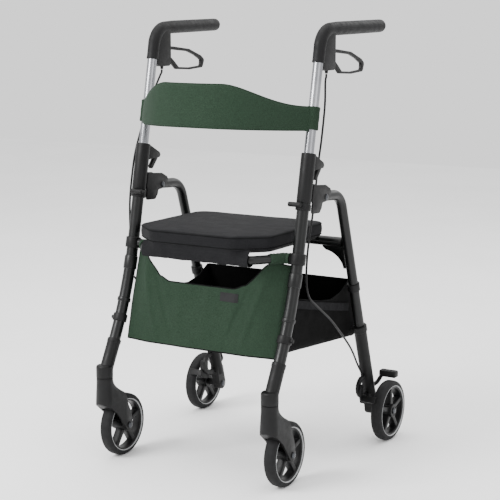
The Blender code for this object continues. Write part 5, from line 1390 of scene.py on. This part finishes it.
def panel_relief(x, z):
    """How far the front panel stands off its flat plane: slack under the dip and folds from its corners."""
    share = (z - BAG_BOTTOM_Z) / 0.2
    sag = 0.0035 * math.sin(math.pi * min(1.0, max(0.0, share))) * (1.0 - (abs(x) / 0.2) ** 2)
    folds = 0.0
    for x0, slope, width, height in (
        (0.150, 0.30, 0.0075, 0.0042),
        (0.118, 0.42, 0.0060, -0.0030),
        (0.092, 0.15, 0.0085, 0.0024),
        (-0.150, -0.28, 0.0080, 0.0036),
        (-0.115, -0.40, 0.0065, -0.0026),
        (-0.060, -0.10, 0.0100, 0.0016),
        (0.020, 0.08, 0.0120, 0.0014),
    ):
        centre = x0 - slope * (0.42 - z)
        folds += height * math.exp(-(((x - centre) / width) ** 2)) * math.sin(math.pi * min(1.0, max(0.0, share)))
    return -(sag + folds) + 0.0016 * rough((x, 0.0, z), 0.040, 6.6)


def bag_front():
    """The green front of the bag, hung from the slanting bars by a loop at each upper corner."""
    columns = 110
    lines = 56
    rows = []
    hem = []
    binding = []
    for j in range(lines + 1):
        share = j / lines
        row = []
        for k in range(columns + 1):
            u = 2.0 * k / columns - 1.0
            x = u * (BAG_HALF - 0.0015)
            top = panel_top(x)
            z = BAG_BOTTOM_Z + 0.0015 + share * (top - BAG_BOTTOM_Z - 0.0030)
            x = u * (panel_half(z) + 0.0002)
            y = bag_front_y(x, z) + 0.0012 + panel_relief(x, z)
            row.append((x, y, z))
            if j == lines:
                binding.append(Vector((x, y, z)))
            if j == 0:
                hem.append(Vector((x, y, z)))
        rows.append(row)
    panel = sheet_of("bag_front_cloth", rows)
    modified(panel, "SOLIDIFY", thickness=0.0012, offset=0.0)
    facing_out(panel)
    edge = coloured(tube("bag_front_binding", binding, 0.0016, None, 10), "binding")
    foot = coloured(tube("hem", hem, 0.0017, None, 10), "binding")
    sides = []
    for index in (0, columns):
        line = [Vector(row[index]) for row in rows]
        sides.append(coloured(tube("side hem", line, 0.0015, None, 10), "binding"))
    edge = joined(edge, foot, *sides)
    loops = []
    for side in (-1.0, 1.0):
        bend = Vector((side * 0.1939, leg_y(BAR_Z), BAR_Z))
        slant = (Vector((side * BAR_MIDDLE_HALF, leg_y(BAR_Z) - BAR_BOW, BAR_Z)) - bend).normalized()
        end = bend + slant * 0.0390
        if side > 0.0:
            line = rounded_path([Vector((side * 0.2074, leg_y(BAR_Z), BAR_Z)), bend, end], [0.0140], 10)
        else:
            line = [bend + slant * 0.0170, bend + slant * 0.0280, end]
        line = smooth_route(line, 34)
        radii = [0.0124 + 0.0005 * math.sin(k * 1.3) + 0.0002 * math.sin(k * 0.7 + side) for k in range(34)]
        loops.append(coloured(tube("loop", line, 0.0124, radii, 40), "green"))
    ties = joined(*loops)
    ties.name = "bag_corner_loops"
    return panel, edge, ties


def bag_sides():
    """Sides, base and back of the bag in one sagging sheet, with bound edges."""
    half = 0.2045
    stations = 44
    columns = 84
    rows = []
    rim_left = []
    rim_right = []
    seam = []
    for j in range(stations + 1):
        share = j / stations
        front = bag_front_y(half, 0.4253) + 0.0040
        y_high = front + share * (0.1430 - front)
        low = 0.2935 + share * (0.2635 - 0.2935)
        if y_high < 0.0:
            high = 0.4253 + (y_high - front) / (0.0 - front) * (0.3880 - 0.4253)
        elif y_high < 0.05:
            high = 0.3880 - 0.0050 * (y_high / 0.05)
        elif y_high < 0.097:
            high = 0.3830 + 0.009 * (y_high - 0.05) / 0.047
        else:
            high = 0.3920 + 0.025 * (y_high - 0.097) / 0.046
        high -= 0.0016
        sag = 0.0065 * math.sin(math.pi * share)
        row = []
        corner = 0.022
        wall = high - low - corner
        arc_run = corner * math.pi / 2
        floor_run = 2 * (half - corner)
        total = 2 * wall + 2 * arc_run + floor_run
        for k in range(columns + 1):
            run = total * k / columns
            if run <= wall:
                x, z = -half, high - run
            elif run <= wall + arc_run:
                a = (run - wall) / corner
                x, z = -half + corner - corner * math.cos(a), low + corner - corner * math.sin(a)
            elif run <= wall + arc_run + floor_run:
                x, z = -half + corner + (run - wall - arc_run), low
                z += 0.0030 - sag * math.sin(math.pi * (run - wall - arc_run) / floor_run) * 0.5
            elif run <= total - wall:
                a = (run - wall - arc_run - floor_run) / corner
                x, z = half - corner + corner * math.sin(a), low + corner - corner * math.cos(a)
            else:
                left_over = run - (total - wall)
                x, z = half, low + corner + left_over
            lean = max(0.0, min(1.0, (z - low) / (high - low)))
            ahead = bag_front_y(x, 0.2930) + 0.0040
            ahead += (bag_front_y(x, 0.4253) + 0.0040 - ahead) * lean
            y = ahead + share * (0.1845 - 0.0415 * lean - ahead)
            belly = math.sin(math.pi * lean) * math.sin(math.pi * share)
            inward = math.copysign(1.0, x) if abs(x) > 0.16 else 0.0
            x -= inward * (0.0055 * belly * (0.6 + 0.9 * abs(rough((0.0, y, z), 0.060, 4.0))))
            row.append((x, y, z))
        rows.append(row)
        rim_left.append(Vector(row[0]))
        rim_right.append(Vector(row[-1]))
    last = rows[-1]
    # The back goes up from the last of these rows to its own straight upper edge
    count = 26
    for j in range(1, count + 1):
        share = j / count
        row = []
        for k in range(columns + 1):
            x, y, z = last[k]
            edge_x = half * (2.0 * k / columns - 1.0)
            middle = Vector((edge_x * 0.985, 0.1430, 0.4155))
            start = Vector((x, y, z))
            if share < 1.0:
                point = start.lerp(middle, share)
                height = (point.z - 0.2635) / (0.4155 - 0.2635)
                slack = 0.0045 * math.sin(math.pi * share) * math.cos(edge_x * 8.0)
                point.y = 0.1845 + (0.1430 - 0.1845) * height - slack
            else:
                point = middle
            row.append(tuple(point))
        rows.append(row)
    seam = [Vector(p) for p in last]
    body = sheet_of("bag_shell_cloth", rows)
    modified(body, "SOLIDIFY", thickness=0.0012, offset=0.0)
    facing_out(body)
    trims = [
        coloured(tube("bag_shell_binding", rim_left, 0.0014, None, 10), "binding"),
        coloured(tube("rim", rim_right, 0.0014, None, 10), "binding"),
        coloured(tube("seam", seam, 0.0013, None, 10), "binding"),
        coloured(tube("rear rim", [Vector(p) for p in rows[-1]], 0.0014, None, 10), "binding"),
    ]
    return body, joined(*trims)


def label():
    """A blank sewn patch in the place of the printed label."""
    rows = []
    for j in range(9):
        z = 0.4085 + 0.0200 * j / 8
        rows.append([])
        for k in range(21):
            x = 0.0540 + 0.0480 * k / 20
            rows[-1].append((x, bag_front_y(x, z) + panel_relief(x, z) + 0.0001, z))
    patch = sheet_of("blank_label", rows)
    modified(patch, "SOLIDIFY", thickness=0.0008, offset=0.0)
    facing_out(patch)
    return patch


def side_strap(word, side):
    """A band of webbing from the front leg's clamp to the rear leg, bowed a little outwards."""
    x = side * 0.2072
    front = Vector((x, leg_y(0.412) + 0.0105, 0.412))
    rear = Vector((x, rear_y(0.348) - 0.007, 0.348))
    along = (rear - front).normalized()
    across = Vector((0.0, -along.z, along.y))
    rows = []
    for j in range(7):
        v = (j / 6 - 0.5) * 0.0185
        row = []
        for k in range(61):
            share = k / 60
            point = front.lerp(rear, share) + across * v
            point += ACROSS * side * 0.0004 * math.sin(share * 40.0)
            point.z -= 0.0016 * math.sin(math.pi * share)
            row.append(tuple(point))
        rows.append(row)
    band = sheet_of(f"{word}_webbing_band", rows)
    modified(band, "SOLIDIFY", thickness=0.0014, offset=0.0)
    return facing_out(band)


CABLE_FOOT = [
    (0.2430, -0.1290, 0.4230),
    (0.2430, -0.0863, 0.3920),
    (0.2430, -0.0270, 0.3531),
    (0.2420, 0.0261, 0.3113),
    (0.2400, 0.0722, 0.2735),
    (0.2370, 0.1050, 0.2430),
    (0.2310, 0.1400, 0.2080),
]
CABLE_HEAD = {
    "right": [
        (0.2190, -0.0160, 0.9000),
        (0.2120, -0.0044, 0.8450),
        (0.2030, -0.0017, 0.7700),
        (0.2000, -0.0081, 0.7250),
        (0.2000, -0.0191, 0.6750),
        (0.2030, -0.0407, 0.6020),
        (0.2100, -0.0671, 0.5600),
        (0.2240, -0.1043, 0.5120),
        (0.2400, -0.1373, 0.4600),
    ],
    "left": [
        (0.2350, -0.0230, 0.9000),
        (0.2430, -0.0600, 0.8350),
        (0.2480, -0.0850, 0.7750),
        (0.2500, -0.1060, 0.7250),
        (0.2500, -0.1200, 0.6750),
        (0.2490, -0.1330, 0.6050),
        (0.2450, -0.1390, 0.5120),
        (0.2440, -0.1440, 0.4600),
    ],
}
CABLE_RADIUS = 0.0025


def cable_route(word, side):
    """The line of a brake cable, from the lever's housing to the rear foot."""
    start = Vector((side * LEG_X, -0.0250, 0.9184))
    end = Vector((side * LEG_X, 0.1760, 0.1688))
    straight = 2 * CABLE_RADIUS * UP
    middle = [Vector((side * x, y, z)) for x, y, z in CABLE_HEAD[word] + CABLE_FOOT]
    return smooth_route([start, start - straight] + middle + [end + straight, end], 126)


def brake_cable(word, side):
    """The cable in two pieces that meet by the crossbar's collar: one goes to the lever, one to the rear foot."""
    line = cable_route(word, side)
    cut = min(range(len(line)), key=lambda k: abs(line[k].z - 0.560) + (0.0 if line[k].y < -0.05 else 1.0))
    upper = line[: cut + 1]
    lower = line[cut:]
    node = f"{word}_brake_cable"
    top = tube(f"{word}_upper_cable", upper, CABLE_RADIUS, None, 16)
    dressed(top, "cable", node, angle=60.0, body="later")
    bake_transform(top)
    foot = tube(f"{word}_lower_cable", lower, CABLE_RADIUS, None, 16)
    dressed(foot, "cable", node, angle=60.0, body="later")
    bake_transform(foot)


# The add-on


class WalkerColours(bpy.types.PropertyGroup):
    """Colours of the finishes, as sRGB hex values."""

    steel_dark: bpy.props.StringProperty(
        name="Steel, dark", description="Darker tone of the powder coat", default="#050606"
    )
    steel_light: bpy.props.StringProperty(
        name="Steel, light", description="Lighter tone of the powder coat", default="#0b0c0c"
    )
    aluminium_dark: bpy.props.StringProperty(
        name="Tube, dark", description="Darker tone of the tube", default="#85868a"
    )
    aluminium_light: bpy.props.StringProperty(
        name="Tube, light", description="Lighter tone of the tube", default="#a6a7aa"
    )
    grip_dark: bpy.props.StringProperty(
        name="Grip, dark", description="Darker tone of the grip", default="#070708"
    )
    grip_light: bpy.props.StringProperty(
        name="Grip, light", description="Lighter tone of the grip", default="#0c0c0d"
    )
    tyre_dark: bpy.props.StringProperty(
        name="Tyre, dark", description="Darker tone of the tyre", default="#111112"
    )
    tyre_light: bpy.props.StringProperty(
        name="Tyre, light", description="Lighter tone of the tyre", default="#1b1b1c"
    )
    seat_dark: bpy.props.StringProperty(
        name="Seat, dark", description="Darker yarn of the seat", default="#111112"
    )
    seat_light: bpy.props.StringProperty(
        name="Seat, light", description="Lighter yarn of the seat", default="#1d1d1f"
    )
    green_dark: bpy.props.StringProperty(
        name="Green, dark", description="Darker yarn of the green cloth", default="#19241b"
    )
    green_light: bpy.props.StringProperty(
        name="Green, light", description="Lighter yarn of the green cloth", default="#293a2d"
    )


class WalkerSizes(bpy.types.PropertyGroup):
    """Sizes of the stage and of the camera."""

    floor_half: bpy.props.FloatProperty(
        name="Floor", description="Half the width of the floor", default=6.0, min=1.0, unit="LENGTH"
    )
    focal_length: bpy.props.FloatProperty(
        name="Focal length", description="Focal length of the camera, in millimetres", default=100.59, min=10.0
    )
    camera_turn: bpy.props.FloatProperty(
        name="Camera's turn",
        description="Angle of the camera round the frame",
        default=math.radians(31.18),
        subtype="ANGLE",
    )
    camera_rise: bpy.props.FloatProperty(
        name="Camera's rise",
        description="Angle of the camera above the level",
        default=math.radians(9.85),
        subtype="ANGLE",
    )


class WALKER_OT_camera(bpy.types.Operator):
    """Sets up the camera at the photograph's angle"""

    bl_idname = "walker.camera"
    bl_label = "Camera"

    def execute(self, context):
        sizes = context.scene.walker_sizes
        bpy.ops.object.camera_add(
            location=(1.72696, -2.83890, 1.06733),
            rotation=(math.radians(90.0) - sizes.camera_rise, 0.0, sizes.camera_turn),
        )
        camera = context.object
        camera.name = "camera"
        camera.data.lens = sizes.focal_length
        camera.data.sensor_width = 36.0
        context.scene.camera = camera
        return {"FINISHED"}


class WALKER_OT_finishes(bpy.types.Operator):
    """Makes the materials from the colours"""

    bl_idname = "walker.finishes"
    bl_label = "Materials"

    def execute(self, context):
        colours = context.scene.walker_colours
        for key in WalkerColours.__annotations__:
            setattr(LOOKS, key, getattr(colours, key))
        make_finishes()
        return {"FINISHED"}


def for_both_sides(*makers):
    for word, side in SIDES:
        for make in makers:
            make(word, side)


class WALKER_OT_cables(bpy.types.Operator):
    """Lays the two brake cables"""

    bl_idname = "walker.cables"
    bl_label = "Brake cables"

    def execute(self, context):
        for_both_sides(brake_cable)
        return {"FINISHED"}


class WALKER_OT_front_frame(bpy.types.Operator):
    """Makes the posts, sleeves, collars, pegs and clamps"""

    bl_idname = "walker.front_frame"
    bl_label = "Front frame"

    def execute(self, context):
        for_both_sides(front_leg, post_sleeve, crossbar_collar, hanger_peg, strap_clamps, caster_socket)
        crossbars()
        return {"FINISHED"}


class WALKER_OT_handles(bpy.types.Operator):
    """Makes the handle tubes, grips, levers and height triggers"""

    bl_idname = "walker.handles"
    bl_label = "Handles"

    def execute(self, context):
        for_both_sides(handle_tube, grip, brake_housing, brake_lever, height_latch)
        return {"FINISHED"}


class WALKER_OT_wheels(bpy.types.Operator):
    """Makes the casters, wheels and axles"""

    bl_idname = "walker.wheels"
    bl_label = "Wheels"

    def execute(self, context):
        for_both_sides(fork, wheels, axles)
        return {"FINISHED"}


class WALKER_OT_rear_frame(bpy.types.Operator):
    """Makes the rear legs with their feet and brakes"""

    bl_idname = "walker.rear_frame"
    bl_label = "Rear frame"

    def execute(self, context):
        for_both_sides(rear_leg, leg_end, brake_arm)
        return {"FINISHED"}


class WALKER_OT_seat(bpy.types.Operator):
    """Makes the seat with its board, pad and front flap"""

    bl_idname = "walker.seat"
    bl_label = "Seat"

    def execute(self, context):
        seat_board()
        seat_cushion()
        flap = dressed(seat_flap(), "seat", "seat_flap", angle=60.0)
        return {"FINISHED"}


class WALKER_OT_backrest(bpy.types.Operator):
    """Makes the padded backrest"""

    bl_idname = "walker.backrest"
    bl_label = "Backrest"

    def execute(self, context):
        backrest()
        return {"FINISHED"}


class WALKER_OT_bag(bpy.types.Operator):
    """Makes the bag with its front, shell, loops, label and side straps"""

    bl_idname = "walker.bag"
    bl_label = "Bag"

    def execute(self, context):
        panel, edge, ties = bag_front()
        dressed(panel, "green", "bag_front_panel", angle=60.0)
        dressed(edge, None, "bag_front_panel", angle=60.0)
        dressed(ties, None, "bag_front_panel", angle=60.0)
        patch = dressed(label(), "patch", "bag_front_panel", angle=60.0)
        body, trims = bag_sides()
        dressed(body, "lining", "bag_body", angle=60.0, body="later")
        dressed(trims, None, "bag_body", angle=60.0, body="later")
        for piece in (body, trims):
            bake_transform(piece)
        for word, side in SIDES:
            band = dressed(side_strap(word, side), "webbing", f"{word}_bag_side_strap", angle=60.0, body="later")
            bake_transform(band)
        return {"FINISHED"}


class WALKER_OT_stage(bpy.types.Operator):
    """Makes the floor and the studio lights"""

    bl_idname = "walker.stage"
    bl_label = "Stage"

    def execute(self, context):
        sizes = context.scene.walker_sizes
        nothing_selected()
        bpy.ops.mesh.primitive_plane_add(size=2 * sizes.floor_half, location=(0.0, 0.0, 0.0))
        floor = context.object
        floor.name = "floor"
        surface, tree, shader = started("pale studio floor", Roughness=0.9)
        where = add(tree, "ShaderNodeTexCoord").outputs["Object"]
        tree.links.new(mottled(tree, where, 0.6, "#fafafa", "#ffffff"), shader.inputs["Base Color"])
        floor.data.materials.append(surface)
        world = context.scene.world or bpy.data.worlds.new("world")
        context.scene.world = world
        world.use_nodes = True
        backdrop = world.node_tree.nodes.get("Background")
        backdrop.inputs["Color"].default_value = (1.0, 1.0, 1.0, 1.0)
        backdrop.inputs["Strength"].default_value = 1.3
        for name, place, size, power in (
            ("key", (-1.4, -2.6, 2.4), 1.4, 130.0),
            ("fill", (2.8, -1.2, 1.8), 2.0, 20.0),
            ("rim", (0.6, 2.6, 2.4), 1.6, 20.0),
            ("overhead", (-0.4, 0.0, 4.2), 4.0, 130.0),
        ):
            aim = (Vector((0.0, 0.0, 0.5)) - Vector(place)).to_track_quat("-Z", "Y").to_euler()
            bpy.ops.object.light_add(type="AREA", location=place, rotation=aim)
            light = context.object
            light.name = f"{name}_light"
            light.data.size = size
            light.data.energy = power
        return {"FINISHED"}


STEPS = (
    "camera",
    "finishes",
    "cables",
    "front_frame",
    "handles",
    "wheels",
    "rear_frame",
    "seat",
    "backrest",
    "bag",
    "stage",
)


class WALKER_PT_panel(bpy.types.Panel):
    bl_label = "Rollator"
    bl_idname = "WALKER_PT_panel"
    bl_space_type = "VIEW_3D"
    bl_region_type = "UI"
    bl_category = "Rollator"

    def draw(self, context):
        layout = self.layout
        for group in (context.scene.walker_sizes, context.scene.walker_colours):
            for key in type(group).__annotations__:
                layout.prop(group, key)
        for step in STEPS:
            layout.operator(f"walker.{step}")


CLASSES = (
    WalkerColours,
    WalkerSizes,
    WALKER_OT_camera,
    WALKER_OT_finishes,
    WALKER_OT_cables,
    WALKER_OT_front_frame,
    WALKER_OT_handles,
    WALKER_OT_wheels,
    WALKER_OT_rear_frame,
    WALKER_OT_seat,
    WALKER_OT_backrest,
    WALKER_OT_bag,
    WALKER_OT_stage,
    WALKER_PT_panel,
)


def register():
    for item in CLASSES:
        bpy.utils.register_class(item)
    bpy.types.Scene.walker_colours = bpy.props.PointerProperty(type=WalkerColours)
    bpy.types.Scene.walker_sizes = bpy.props.PointerProperty(type=WalkerSizes)


def unregister():
    del bpy.types.Scene.walker_sizes
    del bpy.types.Scene.walker_colours
    for item in reversed(CLASSES):
        bpy.utils.unregister_class(item)


def main():
    """Registers the add-on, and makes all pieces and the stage."""
    register()
    for step in STEPS:
        getattr(bpy.ops.walker, step)()


if __name__ == "__main__":
    main()
